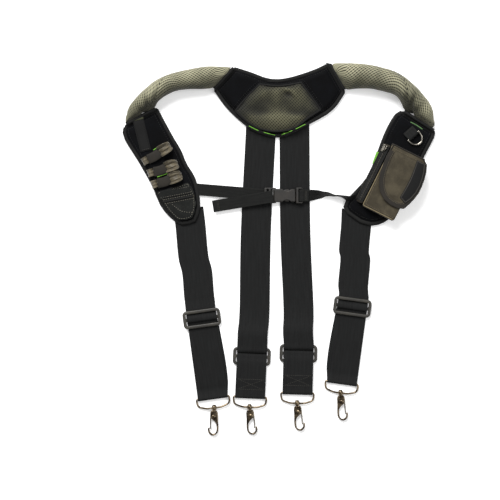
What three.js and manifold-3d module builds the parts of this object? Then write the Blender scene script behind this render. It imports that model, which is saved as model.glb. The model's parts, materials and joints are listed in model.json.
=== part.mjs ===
// Padded shoulder harness that carries a tool belt, laid out flat with the hooks spread.
// Millimetres. X runs across the harness, Y from the hooks towards the neck, Z up from the table.
import * as THREE from 'three';
import { mergeVertices } from 'three/addons/utils/BufferGeometryUtils.js';
import Module from 'manifold-3d';

const wasm = await Module();
wasm.setup();

// ---- driving dimensions ----
const GAP = 0.3; // clearance between neighbours that touch or fit into each other

const PAD_THICK = 10;
const YOKE_THICK = 11;
const PANEL_THICK = 5;
const PAD_EDGE = 2.5; // rounding of the padded edges
const PIPING_R = 1.2;
const ROLL_HEIGHT = 37;
const ROLL_END_HEIGHT = 17;

const WEB_WIDE = 50; // brace webbing
const WEB_THICK = 1.5;
const WEB_LIFT = 1.2; // middle of the single webbing above the table
const FREE_LEVEL = WEB_LIFT + 0.6; // middle of the webbing where it reaches a slider
const TUCK = 22; // how far a strap runs in under its pad

const SLIDER_WIDE = WEB_WIDE + 13;
const SLIDER_BAR = 5.5;
const SLIDER_SLOT = 4.5 * WEB_THICK; // room for the webbing to slope through
const SLIDER_LONG = 3 * SLIDER_BAR + 2 * SLIDER_SLOT;
const SLIDER_THICK = 4;
const CROSSBAR_THICK = 2;
const CROSSBAR_SET = 0.4; // the crossbar's underside above the frame's
const SLIDER_LEAD = 8; // webbing that stays with the slider above its upper bar
const FOLD_LONG = 18; // stretch of webbing that stays with the hook

// heights in the stack of layers at a slider, from the table up: middles of the webbing, faces of the slider
const DEAD_END_LEVEL = 0.4 + WEB_THICK / 2;
const LIVE_LEVEL = DEAD_END_LEVEL + WEB_THICK + GAP;
const SLIDER_LIFT = LIVE_LEVEL + WEB_THICK / 2 + GAP;
const CROSSBAR_TOP = SLIDER_LIFT + CROSSBAR_SET + CROSSBAR_THICK;
const OVER_LEVEL = CROSSBAR_TOP + GAP + WEB_THICK / 2;
const STACK_HEIGHT = OVER_LEVEL + WEB_THICK / 2 + GAP; // the back straps' stack is turned over inside it
const HOOK_LEVEL = STACK_HEIGHT / 2; // height of the hooks' swivel axes

const WIRE_R = 1.6;
const LOOP_DROP = 17.5; // from the loop's straight bar to its swivel boss
const LOOP_PLAY = 3; // between the webbing's edge and the middle of the loop's side
const BOSS_R = HOOK_LEVEL;
const BOSS_HALF = 3.5;
const STUD_R = 1.7;
const HOOK_THICK = 5;
const GATE_THICK = 2;
const RIVET_AT = [14.5, 0.8];
const RIVET_R = 1.2;

const CHEST_WIDE = 20;
const CHEST_PLAY = 1.1; // beside the chest webbing in the buckle's slots
const CHEST_THICK = 1.4;
const CHEST_LEVEL = 5.2; // middle of the chest webbing where it leaves a pad
const BUCKLE_AT = [2.3, 91];
const BUCKLE_LEVEL = 6.9;
const SOCKET_LONG = 36;
const SOCKET_WIDE = CHEST_WIDE + 2;
const LADDER_WIDE = CHEST_WIDE + 6;
const SOCKET_THICK = 9;
const LADDER_SLOT = 15.2; // from the buckle's middle to the slot that the webbing comes up through
const CAVITY_HALF_WIDE = 8.7;
const CAVITY_HALF_HIGH = 2.9;
const PRONG_THICK = 4.8;
const CLIP_WIDE = CHEST_WIDE + 7;
const CLIP_THICK = 8;

const POUCH_AT = [187.3, 111.6];
const POUCH_TURN = THREE.MathUtils.degToRad(-26.5);
const POUCH_WIDE = 60;
const POUCH_LONG = 115;
const POUCH_DEEP = 21.5;
const POUCH_WALL = 2.2;
const FLAP_THICK = 3;
const LABEL_THICK = 1.2;
const GUSSET_WIDE = 11;
const GUSSET_HIGH = 14;
const ZIP_PIN = [3.2, 5.7]; // where the pull hinges on the zip slider, along and above the zip

const LOOP_BAND_WIDE = 15; // elastic tool loops
const LOOP_BAND_THICK = 1.4;

// ---- materials ----
function finish(color, roughness, metalness = 0) {
  return new THREE.MeshStandardMaterial({ color, roughness, metalness });
}
const blackCloth = finish(0x17191c, 0.9);
const blackWebbing = finish(0x1d1e1e, 0.85);
const khakiMesh = finish(0x8b8865, 0.85);
const oliveMesh = finish(0x5a5840, 0.9);
const khakiCloth = finish(0x675f4b, 0.85);
const darkRubber = finish(0x2e2a26, 0.6);
const tanElastic = finish(0x7c7460, 0.85);
const limeCord = finish(0x8fc95a, 0.5);
const agedNickel = finish(0x8c7a60, 0.3, 0.9);
const brightNickel = finish(0xc8c2b4, 0.25, 0.95);
const darkPlastic = finish(0x3c3a34, 0.45);
const brownPlastic = finish(0x5d564b, 0.45);

const harness = new THREE.Group();

function place(name, geometry, material, parent = harness) {
  const mesh = new THREE.Mesh(geometry, material);
  mesh.name = name;
  parent.add(mesh);
  return mesh;
}

// ---- joining and cutting ----
function toSolid(geometry) {
  const bare = geometry.clone();
  bare.deleteAttribute('normal');
  bare.deleteAttribute('uv');
  const merged = mergeVertices(bare, 1e-4);
  const vertProperties = new Float32Array(merged.attributes.position.array);
  const triVerts = new Uint32Array(merged.index.array);
  return new wasm.Manifold(new wasm.Mesh({ numProp: 3, vertProperties, triVerts }));
}

function toGeometry(solid) {
  const mesh = solid.getMesh();
  const geometry = new THREE.BufferGeometry();
  geometry.setAttribute('position', new THREE.BufferAttribute(new Float32Array(mesh.vertProperties), 3));
  geometry.setIndex(new THREE.BufferAttribute(new Uint32Array(mesh.triVerts), 1));
  geometry.computeVertexNormals();
  return geometry;
}

function joined(first, ...others) {
  return toGeometry(others.reduce((solid, other) => solid.add(toSolid(other)), toSolid(first)));
}

function cut(first, ...tools) {
  return toGeometry(tools.reduce((solid, tool) => solid.subtract(toSolid(tool)), toSolid(first)));
}

// ---- shapes ----
function block(x0, x1, y0, y1, z0, z1) {
  const box = new THREE.BoxGeometry(x1 - x0, y1 - y0, z1 - z0);
  return box.translate((x0 + x1) / 2, (y0 + y1) / 2, (z0 + z1) / 2);
}

// A rod along X, Y or Z through a middle point.
function rod(axis, radius, length, middle, sides = 12) {
  const geometry = new THREE.CylinderGeometry(radius, radius, length, sides);
  if (axis === 'x') geometry.rotateZ(Math.PI / 2);
  if (axis === 'z') geometry.rotateX(Math.PI / 2);
  return geometry.translate(...middle);
}

// Each stretch is a smooth curve through its points; stretches meet at corners.
function outline(stretches, step = 13) {
  const points = [];
  for (const stretch of stretches) {
    const curve = new THREE.SplineCurve(stretch.map(([x, y]) => new THREE.Vector2(x, y)));
    const pieces = stretch.length === 2 ? 1 : Math.ceil(curve.getLength() / step);
    points.push(...curve.getSpacedPoints(pieces).slice(0, -1));
  }
  return new THREE.Shape(points);
}

function roundedRectangle(width, height, radius, into = new THREE.Shape()) {
  const x = width / 2;
  const y = height / 2;
  into.moveTo(-x + radius, -y);
  into.lineTo(x - radius, -y);
  into.absarc(x - radius, -y + radius, radius, -Math.PI / 2, 0);
  into.lineTo(x, y - radius);
  into.absarc(x - radius, y - radius, radius, 0, Math.PI / 2);
  into.lineTo(-x + radius, y);
  into.absarc(-x + radius, y - radius, radius, Math.PI / 2, Math.PI);
  into.lineTo(-x, -y + radius);
  into.absarc(-x + radius, -y + radius, radius, Math.PI, 1.5 * Math.PI);
  return into;
}

// A plate of a plan outline with rounded edges, standing on height z0.
function slab(shape, z0, thickness, edge = 0, curveSegments = 5) {
  const geometry = new THREE.ExtrudeGeometry(shape, {
    depth: thickness - 2 * edge,
    bevelEnabled: edge > 0,
    bevelThickness: edge,
    bevelSize: edge,
    bevelOffset: -edge,
    bevelSegments: 1,
    curveSegments,
  });
  return geometry.translate(0, 0, z0 + edge);
}

// A strip of webbing seen from its edge: the path of its middle, as [along, height] points.
function stripShape(path, thickness) {
  const points = path.map(([x, y]) => new THREE.Vector2(x, y));
  const left = [];
  const right = [];
  points.forEach((point, i) => {
    const before = points[Math.max(i - 1, 0)];
    const after = points[Math.min(i + 1, points.length - 1)];
    const into = point.clone().sub(i > 0 ? before : after).multiplyScalar(i > 0 ? 1 : -1).normalize();
    const out = after.clone().sub(point);
    if (i === points.length - 1) out.copy(into);
    out.normalize();
    const along = into.clone().add(out).normalize();
    const reach = thickness / 2 / Math.max(along.dot(into), 0.5);
    const aside = new THREE.Vector2(-along.y, along.x).multiplyScalar(reach);
    left.push(point.clone().add(aside));
    right.unshift(point.clone().sub(aside));
  });
  return new THREE.Shape([...left, ...right]);
}

// The strip lies along +X, is centred across on Y and rises along Z.
function strip(path, width, thickness) {
  const geometry = new THREE.ExtrudeGeometry(stripShape(path, thickness), { depth: width, bevelEnabled: false });
  const across = new THREE.Matrix4().makeBasis(
    new THREE.Vector3(1, 0, 0),
    new THREE.Vector3(0, 0, 1),
    new THREE.Vector3(0, -1, 0),
  );
  return geometry.applyMatrix4(across).translate(0, width / 2, 0);
}

// A closed polygon in the XY plane with its corners rounded off, as a path for wire.
function roundedPath(corners, radius) {
  const path = new THREE.CurvePath();
  const points = corners.map(([x, y]) => new THREE.Vector3(x, y, 0));
  const count = points.length;
  const step = (from, to) => from.clone().add(to.clone().sub(from).setLength(radius));
  for (let i = 0; i < count; i += 1) {
    const corner = points[i];
    const next = points[(i + 1) % count];
    const before = points[(i + count - 1) % count];
    path.add(new THREE.QuadraticBezierCurve3(step(corner, before), corner, step(corner, next)));
    path.add(new THREE.LineCurve3(step(corner, next), step(next, corner)));
  }
  return path;
}

function ring(path, radius, steps, sides = 8) {
  return new THREE.TubeGeometry(path, steps, radius, sides, true);
}

// A group whose +X points from one plan point to another.
function heading(from, to, level = 0) {
  const group = new THREE.Group();
  group.position.set(from[0], from[1], level);
  group.rotation.z = Math.atan2(to[1] - from[1], to[0] - from[0]);
  harness.add(group);
  return group;
}

function towards(from, to, distance) {
  const length = Math.hypot(to[0] - from[0], to[1] - from[1]);
  return [0, 1].map((k) => from[k] + ((to[k] - from[k]) * distance) / length);
}

// ---- the four straps: top under a pad or the yoke, slider, and bar of the hook's wire loop ----
// lean is the hook's own direction, in degrees anticlockwise from straight down.
const BACK_LEFT_TOP = [-31.7, 192];
const BACK_RIGHT_TOP = [BACK_LEFT_TOP[0] + WEB_WIDE + 6.4, 194]; // side by side under the yoke
const BACK_LEFT_BAR = [-49.2, -243.7];
const BACK_RIGHT_BAR = [29.7, -237.2];
const FRONT_LEFT_BAR = [BACK_LEFT_BAR[0] - WEB_WIDE - 12.2, -245.1]; // beside the back strap, with a gap
const FRONT_RIGHT_BAR = [BACK_RIGHT_BAR[0] + WEB_WIDE + 24.1, -220.2];
const STRAPS = [
  { name: 'front_left', top: [-149.4, 48.2], slider: [-129.4, -113.5], bar: FRONT_LEFT_BAR,
    lean: -1, turned: false, opens: -1 },
  { name: 'back_left', top: BACK_LEFT_TOP, slider: [-46.3, -176.9], bar: BACK_LEFT_BAR,
    lean: 5, turned: true, opens: 1 },
  { name: 'back_right', top: BACK_RIGHT_TOP, slider: [31.3, -171.9], bar: BACK_RIGHT_BAR,
    lean: 5, turned: true, opens: 1 },
  { name: 'front_right', top: [127.5, 46.5], slider: [121.0, -94.2], bar: FRONT_RIGHT_BAR,
    lean: 4, turned: false, opens: 1 },
];

// The room that a strap needs under the pad that it is sewn to.
function tuckUnder(strap) {
  const inner = towards(strap.top, strap.slider, -TUCK);
  const away = Math.atan2(strap.slider[1] - strap.top[1], strap.slider[0] - strap.top[0]);
  const high = WEB_LIFT + WEB_THICK / 2 + GAP;
  const half = WEB_WIDE / 2 + GAP;
  const room = block(-GAP, TUCK + 30, -half, half, -1, high);
  return room.rotateZ(away).translate(inner[0], inner[1], 0);
}

// The room that the chest webbing needs in the edge of a front pad, inwards from an edge point.
function chestSlot(at, turn) {
  const high = CHEST_THICK / 2 + GAP;
  const half = CHEST_WIDE / 2 + GAP;
  return block(-GAP, 40, -half, half, -high, high).rotateZ(turn).translate(at[0], at[1], CHEST_LEVEL);
}

// ---- yoke ----
const YOKE_LEFT_SEAM = [[-110.2, 267.1], [-75.2, 304.9]];
const YOKE_RIGHT_SEAM = [[81.9, 311.9], [109.5, 263.2]];
const YOKE_BOTTOM = [[45.7, 207.7], [12.3, 190.4], [-3.8, 187.4], [-17.2, 188.9], [-39.5, 196.5], [-54.3, 205.2]];

function buildYoke() {
  const shape = outline([
    [YOKE_LEFT_SEAM[1], [-47, 296.1], [-17.2, 285.6], [12.3, 286.6], [54, 299.2], YOKE_RIGHT_SEAM[0]],
    YOKE_RIGHT_SEAM,
    [YOKE_RIGHT_SEAM[1], [94.5, 239.9], [77.3, 224.9], YOKE_BOTTOM[0]],
    YOKE_BOTTOM,
    [YOKE_BOTTOM.at(-1), [-76.7, 224.5], [-94.5, 243.9], YOKE_LEFT_SEAM[0]],
    YOKE_LEFT_SEAM,
  ]);
  const backStraps = STRAPS.filter((strap) => strap.turned);
  const cushion = slab(shape, 0, YOKE_THICK, PAD_EDGE);
  place('yoke_cushion', cut(cushion, ...backStraps.map(tuckUnder)), blackCloth);

  const panel = outline([
    [[-33.5, 276.5], [0, 273.5], [35.7, 279.1]],
    [[35.7, 279.1], [52, 257], [69, 233.2]],
    [[69, 233.2], [48.3, 220], [24.5, 202.2], [-5.3, 196.5], [-36.5, 202.2], [-58, 216], [-74.3, 232]],
    [[-74.3, 232], [-55, 255], [-33.5, 276.5]],
  ]);
  place('yoke_mesh_panel', slab(panel, YOKE_THICK + GAP, PANEL_THICK, 2), oliveMesh);

  // a thin cord lies along the bottom edge, between the edge and the panel
  const cordLevel = YOKE_THICK + GAP + PIPING_R;
  const cordPath = YOKE_BOTTOM.map(([x, y]) => new THREE.Vector3(x * 0.98, y + PAD_EDGE + PIPING_R, cordLevel));
  const piping = new THREE.ExtrudeGeometry(new THREE.Shape().absarc(0, 0, PIPING_R, 0, 2 * Math.PI), {
    steps: 16,
    curveSegments: 4,
    extrudePath: new THREE.CatmullRomCurve3(cordPath),
  });
  place('yoke_piping', piping, limeCord);
}

// ---- shoulder rolls: stations of [outer edge, inner edge, height] from the yoke to the pad ----
const ROLLS = {
  left: [
    [[-76.0, 305.2], [-110.8, 267.6], 0],
    [[-118, 306.8], [-128, 266.0], 0.75],
    [[-150, 301.0], [-150, 266.2], 1],
    [[-188.9, 290.7], [-173, 263.5], 1],
    [[-214.4, 275.9], [-188, 256], 1],
    [[-237.7, 254.6], [-200.5, 246.5], 0.95],
    [[-252.7, 235.4], [-204.5, 241], 0.6],
    [[-259.6, 208.6], [-203.6, 237.8], 0],
  ],
  right: [
    [[82.6, 312.4], [110.2, 263.6], 0],
    [[118, 312.3], [128.5, 267.0], 0.75],
    [[150, 309.0], [154, 265.4], 1],
    [[192.4, 297.1], [176, 260], 1],
    [[213.7, 283.2], [190, 255.5], 1],
    [[234.9, 263.2], [197.5, 247], 0.95],
    [[255, 236], [201.5, 240], 0.6],
    [[260.4, 197.6], [203.8, 233.8], 0],
  ],
};

function buildRoll(side) {
  const stations = ROLLS[side];
  const middles = stations.map(([o, i]) => new THREE.Vector3((o[0] + i[0]) / 2, (o[1] + i[1]) / 2, 0));
  const spans = stations.map(([o, i, full]) => new THREE.Vector3((o[0] - i[0]) / 2, (o[1] - i[1]) / 2, full));
  const middle = new THREE.CatmullRomCurve3(middles);
  const span = new THREE.CatmullRomCurve3(spans);
  const geometry = new THREE.CylinderGeometry(1, 1, 1, 12, 20);
  const position = geometry.attributes.position;
  for (let i = 0; i < position.count; i += 1) {
    const along = THREE.MathUtils.clamp(0.5 - position.getY(i), 0, 1);
    const centre = middle.getPoint(along);
    const half = span.getPoint(along);
    const full = THREE.MathUtils.clamp(half.z, 0, 1);
    const high = THREE.MathUtils.lerp(ROLL_END_HEIGHT, ROLL_HEIGHT, full);
    const aside = position.getX(i);
    const up = position.getZ(i);
    position.setXYZ(i, centre.x + half.x * aside, centre.y + half.y * aside, ((1 + up) * high) / 2);
  }
  if (side === 'left') turnInsideOut(geometry);
  place(`${side}_shoulder_roll`, geometry, khakiMesh);
}

function turnInsideOut(geometry) {
  const index = geometry.index;
  for (let i = 0; i < index.count; i += 3) {
    const first = index.getX(i);
    index.setX(i, index.getX(i + 1));
    index.setX(i + 1, first);
  }
}

// ---- front pads ----
const LEFT_PAD = [
  [[-203.4, 237.0], [-259.4, 207.6]],
  [[-259.4, 207.6], [-261.6, 197.2], [-256.9, 182.2], [-235.5, 148.2], [-218.5, 118.5], [-208, 97.2],
    [-199.4, 76], [-186.7, 59], [-171.9, 46.2], [-163.4, 42]],
  [[-163.4, 42], [-142, 46.2], [-135.7, 59]],
  [[-135.7, 59], [-132.5, 69.5], [-132.5, 82.4], [-135.7, 103.5], [-142, 123.9], [-154.9, 144],
    [-163.4, 165.2], [-176, 186.5], [-188.9, 209.9], [-203.4, 237.0]],
];
const RIGHT_PAD = [
  [[259.4, 196.9], [203.1, 233.0]],
  [[203.1, 233.0], [192.4, 226.9], [179.5, 205.7], [171, 186.5], [162.4, 163.2], [152, 135.5],
    [141.4, 116.5], [120, 93.2], [109.5, 82.3], [106.2, 73.8], [109.5, 63.2], [132.9, 46.2]],
  [[132.9, 46.2], [152, 40.8], [169, 44], [181.7, 51.5]],
  [[181.7, 51.5], [200, 78], [219, 112], [239, 152.5], [259.4, 191.9], [259.4, 196.9]],
];
const CHEST_LEFT_END = [-149, 102.2]; // where the chest webbing is sewn in
const CHEST_RIGHT_END = [124, 83];
const CHEST_RIGHT_TURN = THREE.MathUtils.degToRad(166);

function buildPads() {
  const [frontLeft, , , frontRight] = STRAPS;
  const chestTurn = Math.atan2(BUCKLE_AT[1] - CHEST_LEFT_END[1], BUCKLE_AT[0] - CHEST_LEFT_END[0]);
  const left = slab(outline(LEFT_PAD), 0, PAD_THICK, PAD_EDGE);
  place('left_front_pad', cut(left, tuckUnder(frontLeft), chestSlot(CHEST_LEFT_END, chestTurn)), blackCloth);
  const right = slab(outline(RIGHT_PAD), 0, PAD_THICK, PAD_EDGE);
  const slot = chestSlot(CHEST_RIGHT_END, CHEST_RIGHT_TURN);
  place('right_front_pad', cut(right, tuckUnder(frontRight), slot), blackCloth);
}

// ---- what the left pad carries ----
const TOOL_LOOPS = [
  { left: [-226.5, 146.4], right: [-182.0, 173.1] },
  { left: [-218.0, 127.5], right: [-170.0, 143.4] },
  { left: [-211.5, 108.6], right: [-163.5, 124.2] },
];

function buildLeftKit() {
  const top = PAD_THICK + GAP;
  const tab = heading([-235.5, 219], [-222.5, 164.5], top);
  const tabLong = 56;
  const tabShape = roundedRectangle(tabLong, 18, 2).getPoints(3).map((p) => p.add(new THREE.Vector2(tabLong / 2, 0)));
  place('label_tab', slab(new THREE.Shape(tabShape), 0, 1.6, 0.4), darkRubber, tab);

  TOOL_LOOPS.forEach(({ left, right }, i) => {
    const long = Math.hypot(right[0] - left[0], right[1] - left[1]);
    const flat = LOOP_BAND_THICK / 2;
    const puff = long - 18; // the far stretch stands up as the loop that holds a tool
    const group = heading(left, right, top);
    const band = strip([
      [0, flat], [0.6, 4], [3, 6], [7, 5.6], [9.5, 3], [11, flat],
      [puff, flat], [puff + 1, 5], [puff + 4, 8.6], [puff + 9, 9.6], [puff + 14, 8], [puff + 17, 4], [long, flat],
    ], LOOP_BAND_WIDE, LOOP_BAND_THICK);
    place(`tool_loop_${i + 1}`, band, tanElastic, group);
    const keeperLong = puff - 13.5;
    const keeper = roundedRectangle(keeperLong, LOOP_BAND_WIDE - 1, 3);
    const over = LOOP_BAND_THICK + GAP;
    const mesh = place(`loop_keeper_${i + 1}`, slab(keeper, over, 4, 1.2, 3), blackWebbing, group);
    mesh.position.x = 12.2 + keeperLong / 2;
  });

  const pocket = outline([
    [[-204.5, 97], [-152, 113.5]],
    [[-152, 113.5], [-143, 100], [-139, 82], [-139.5, 66], [-145, 53]],
    [[-145, 53], [-163, 47.5], [-171, 51], [-184.5, 63.5], [-195, 79], [-204.5, 97]],
  ]);
  place('left_pocket', slab(pocket, top, 2.6, 0.8), blackCloth);
}

// ---- what the right pad carries ----
function buildPouch() {
  const floor = PAD_THICK + GAP;
  const pouch = new THREE.Group();
  pouch.position.set(POUCH_AT[0], POUCH_AT[1], floor);
  pouch.rotation.z = POUCH_TURN;
  harness.add(pouch);
  const halfWide = POUCH_WIDE / 2;
  const halfLong = POUCH_LONG / 2;

  const shell = slab(roundedRectangle(POUCH_WIDE, POUCH_LONG, 4), 0, POUCH_DEEP, 1.5, 4);
  const inside = block(
    -halfWide + POUCH_WALL, halfWide - POUCH_WALL,
    -halfLong + POUCH_WALL, halfLong + 1,
    POUCH_WALL, POUCH_DEEP - POUCH_WALL,
  );
  place('pouch_body', cut(shell, inside), khakiCloth, pouch);

  const hinge = halfLong;
  const flap = outline([
    [[-28, hinge], [27, hinge]],
    [[27, hinge], [35, hinge - 4], [42.4, 33.5], [45.3, 6.5], [41.4, -14.5], [34.6, -31.5]],
    [[34.6, -31.5], [20, -36], [5, -34], [-7.4, -28.5], [-19.2, -15], [-26.2, 3], [-30, 33], [-28, hinge]],
  ]);
  place('pouch_flap', slab(flap, POUCH_DEEP + GAP, FLAP_THICK, 0.9), khakiCloth, pouch);
  const label = outline([
    [[18, 50.5], [33.5, 51]],
    [[33.5, 51], [40, 33.5], [42.8, 7.5], [38.8, -12], [32.5, -23]],
    [[32.5, -23], [20, -18]],
    [[20, -18], [21.5, 16], [18, 50.5]],
  ]);
  place('flap_label', slab(label, POUCH_DEEP + FLAP_THICK + 2 * GAP, LABEL_THICK, 0.3), darkRubber, pouch);

  // the zip runs down a sloping gusset along the pouch's long side
  const wall = -halfWide - GAP;
  const slope = new THREE.Shape([[0, 0], [GUSSET_WIDE, 0], [GUSSET_WIDE, GUSSET_HIGH], [0, 2]]
    .map(([x, y]) => new THREE.Vector2(x, y)));
  const gussetLong = POUCH_LONG - 8;
  const gusset = new THREE.ExtrudeGeometry(slope, { depth: gussetLong, bevelEnabled: false });
  gusset.rotateX(Math.PI / 2).translate(wall - GUSSET_WIDE, gussetLong / 2, 0);
  place('zip_gusset', gusset, blackWebbing, pouch);

  const tilt = Math.atan2(GUSSET_HIGH - 2, GUSSET_WIDE);
  const zip = new THREE.Group(); // its X runs up the slope, its Y along the zip
  zip.position.set(wall - GUSSET_WIDE / 2, gussetLong / 2 - 7, (GUSSET_HIGH + 2) / 2);
  zip.rotation.y = -tilt;
  pouch.add(zip);
  const slider = slab(roundedRectangle(7, 10, 2), GAP, 3.2, 0.6, 2);
  const [pinY, pinZ] = ZIP_PIN;
  const ears = [-1.9, 1.9].map((x) => block(x - 0.5, x + 0.5, pinY - 1.3, pinY + 1.3, 3, pinZ + 1.3));
  const pin = rod('x', 0.6, 3.8, [0, pinY, pinZ], 8);
  place('zip_slider', joined(slider, ...ears, pin), brightNickel, zip);
  const eye = rod('x', 1.7, 2.2, [0, pinY, pinZ], 10);
  const neck = block(-1.1, 1.1, pinY - 4, pinY, pinZ - 0.8, pinZ + 0.8);
  const tongue = slab(roundedRectangle(4.6, 9, 1.4), pinZ - 0.8, 1.6, 0.4, 2).translate(0, pinY - 6.8, 0);
  const bore = rod('x', 0.6 + GAP, 6, [0, pinY, pinZ], 8);
  place('zip_pull', cut(joined(eye, neck, tongue), bore), brightNickel, zip);
}

const RING_BAR = [221.5, 189.9];
const RING_FAR = [233.5, 176.5];
const RING_R = 1.4;
const RING_LEVEL = PAD_THICK + GAP + 3.9;

function buildRing() {
  const group = heading(RING_BAR, RING_FAR, RING_LEVEL);
  const dee = [[0, -12.5], [9, -12.5], [16.5, -6.5], [16.5, 6.5], [9, 12.5], [0, 12.5]];
  place('tab_ring', ring(roundedPath(dee, 3.2), RING_R, 28, 6), brightNickel, group);
  const around = RING_R + GAP + WEB_THICK / 2;
  const low = -RING_LEVEL + PAD_THICK + GAP + WEB_THICK / 2;
  const fold = strip([
    [-17, low], [-6, low], [0.4, -around], [around * 0.75, -around * 0.7], [around, 0],
    [around * 0.75, around * 0.7], [0, around], [-6, 0.2], [-17, low + WEB_THICK + GAP],
  ], 18, WEB_THICK);
  place('ring_tab', fold, blackWebbing, group);
}

// ---- straps ----
const FOLD_R = WIRE_R + GAP + WEB_THICK / 2;

function buildSlider(strap, group, turn) {
  const inner = WEB_WIDE + 3;
  const frame = roundedRectangle(SLIDER_LONG, SLIDER_WIDE, 7);
  const hole = roundedRectangle(SLIDER_LONG - 2 * SLIDER_BAR, inner, 1.5, new THREE.Path());
  frame.holes.push(hole);
  const rim = slab(frame, SLIDER_LIFT, SLIDER_THICK, 1, 5);
  const half = SLIDER_BAR / 2;
  const crossbar = block(-half, half, -inner / 2 - 1, inner / 2 + 1, CROSSBAR_TOP - CROSSBAR_THICK, CROSSBAR_TOP);
  place(`${strap.name}_slider`, turn(joined(rim, crossbar)), darkPlastic, group);
}

// The live webbing: in under the slider's upper bar, over its crossbar, and down to the hook.
function liveWebbing(long) {
  const bendAt = WEB_THICK / 2 + 0.1; // where the webbing bends, from the bar that it passes
  const overHalf = SLIDER_BAR / 2 + bendAt;
  const underEdge = SLIDER_LONG / 2 - SLIDER_BAR - bendAt + 0.05;
  return [
    [-SLIDER_LONG / 2 - SLIDER_LEAD, FREE_LEVEL],
    [-SLIDER_LONG / 2 - 1, LIVE_LEVEL],
    [-underEdge, LIVE_LEVEL],
    [-overHalf, OVER_LEVEL],
    [overHalf, OVER_LEVEL],
    [underEdge, LIVE_LEVEL],
    [long - FOLD_LONG - GAP, LIVE_LEVEL],
  ];
}

// The end of the webbing: round the bar of the wire loop and back to the crossbar that it is sewn to.
function foldedEnd(long) {
  const path = [[long - FOLD_LONG, LIVE_LEVEL]];
  const steps = 8;
  for (let i = 0; i <= steps; i += 1) {
    const turn = Math.PI / 2 - (Math.PI * i) / steps;
    path.push([long + FOLD_R * Math.cos(turn), HOOK_LEVEL + FOLD_R * Math.sin(turn)]);
  }
  path.push([long - 14, DEAD_END_LEVEL], [SLIDER_BAR / 2 + 1, DEAD_END_LEVEL]);
  return path;
}

function buildStrap(strap) {
  const { name, top, slider, bar, turned } = strap;
  // a back strap lies face down, so its stack of layers is turned over
  const turn = (geometry) => {
    if (turned) geometry.rotateX(Math.PI).translate(0, 0, STACK_HEIGHT);
    return geometry;
  };
  const long = Math.hypot(bar[0] - slider[0], bar[1] - slider[1]);
  const group = heading(slider, bar);
  buildSlider(strap, group, turn);
  place(`${name}_lower_webbing`, turn(strip(liveWebbing(long), WEB_WIDE, WEB_THICK)), blackWebbing, group);
  place(`${name}_webbing_end`, turn(strip(foldedEnd(long), WEB_WIDE, WEB_THICK)), blackWebbing, group);

  const upper = heading(slider, top);
  const reach = Math.hypot(top[0] - slider[0], top[1] - slider[1]);
  const skew = upper.rotation.z - group.rotation.z - Math.PI;
  const end = SLIDER_LONG / 2 + SLIDER_LEAD + GAP + (WEB_WIDE / 2) * Math.abs(Math.sin(skew));
  const endLevel = turned ? STACK_HEIGHT - FREE_LEVEL : FREE_LEVEL;
  const path = [[end, endLevel], [end + 12, endLevel], [end + 50, WEB_LIFT], [reach + TUCK, WEB_LIFT]];
  place(`${name}_upper_webbing`, strip(path, WEB_WIDE, WEB_THICK), blackWebbing, upper);
}

// ---- hooks ----
function bossOf(strap) {
  return towards(strap.bar, strap.slider, -LOOP_DROP);
}

// The direction of the swivel and of the hook below it, as an angle in the plan.
function hookTurn(strap) {
  return THREE.MathUtils.degToRad(strap.lean - 90);
}

function buildLoop(strap) {
  const group = heading(strap.bar, bossOf(strap), HOOK_LEVEL);
  const half = WEB_WIDE / 2 + LOOP_PLAY;
  const corners = [[0, -half], [13, 2 - half], [LOOP_DROP, -14], [LOOP_DROP, 14], [13, half - 2], [0, half]];
  const wire = ring(roundedPath(corners, 3.4), WIRE_R, 36, 6);
  const skew = hookTurn(strap) - group.rotation.z;
  const swivel = (radius, long) => rod('x', radius, long, [0, 0, 0]).rotateZ(skew).translate(LOOP_DROP, 0, 0);
  const boss = swivel(BOSS_R, 2 * BOSS_HALF);
  const bore = swivel(STUD_R + GAP, 4 * BOSS_HALF);
  place(`${strap.name}_wire_loop`, cut(joined(wire, boss), bore), agedNickel, group);
}

const HOOK_OUTLINE = [
  [[4, -3.2], [5.5, -5.2], [9, -6.5], [20, -6.9], [32, -7.8], [39.5, -7.2], [44.5, -3.5], [46.3, 1],
    [45, 5.6], [41, 8.9], [36, 10], [33.2, 9.6]],
  [[33.2, 9.6], [32.6, 8.2], [33.6, 7]],
  [[33.6, 7], [37, 7], [40.5, 5.8], [42.8, 2.6], [43.2, 0.8], [42.2, -2.2], [39, -4.3], [33, -4.8], [26.5, -4]],
  [[26.5, -4], [22.5, -1], [18, 4.2], [14, 6.3]],
  [[14, 6.3], [9, 6.5], [5.5, 5.2], [4, 3.2]],
  [[4, 3.2], [4, -3.2]],
];

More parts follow.
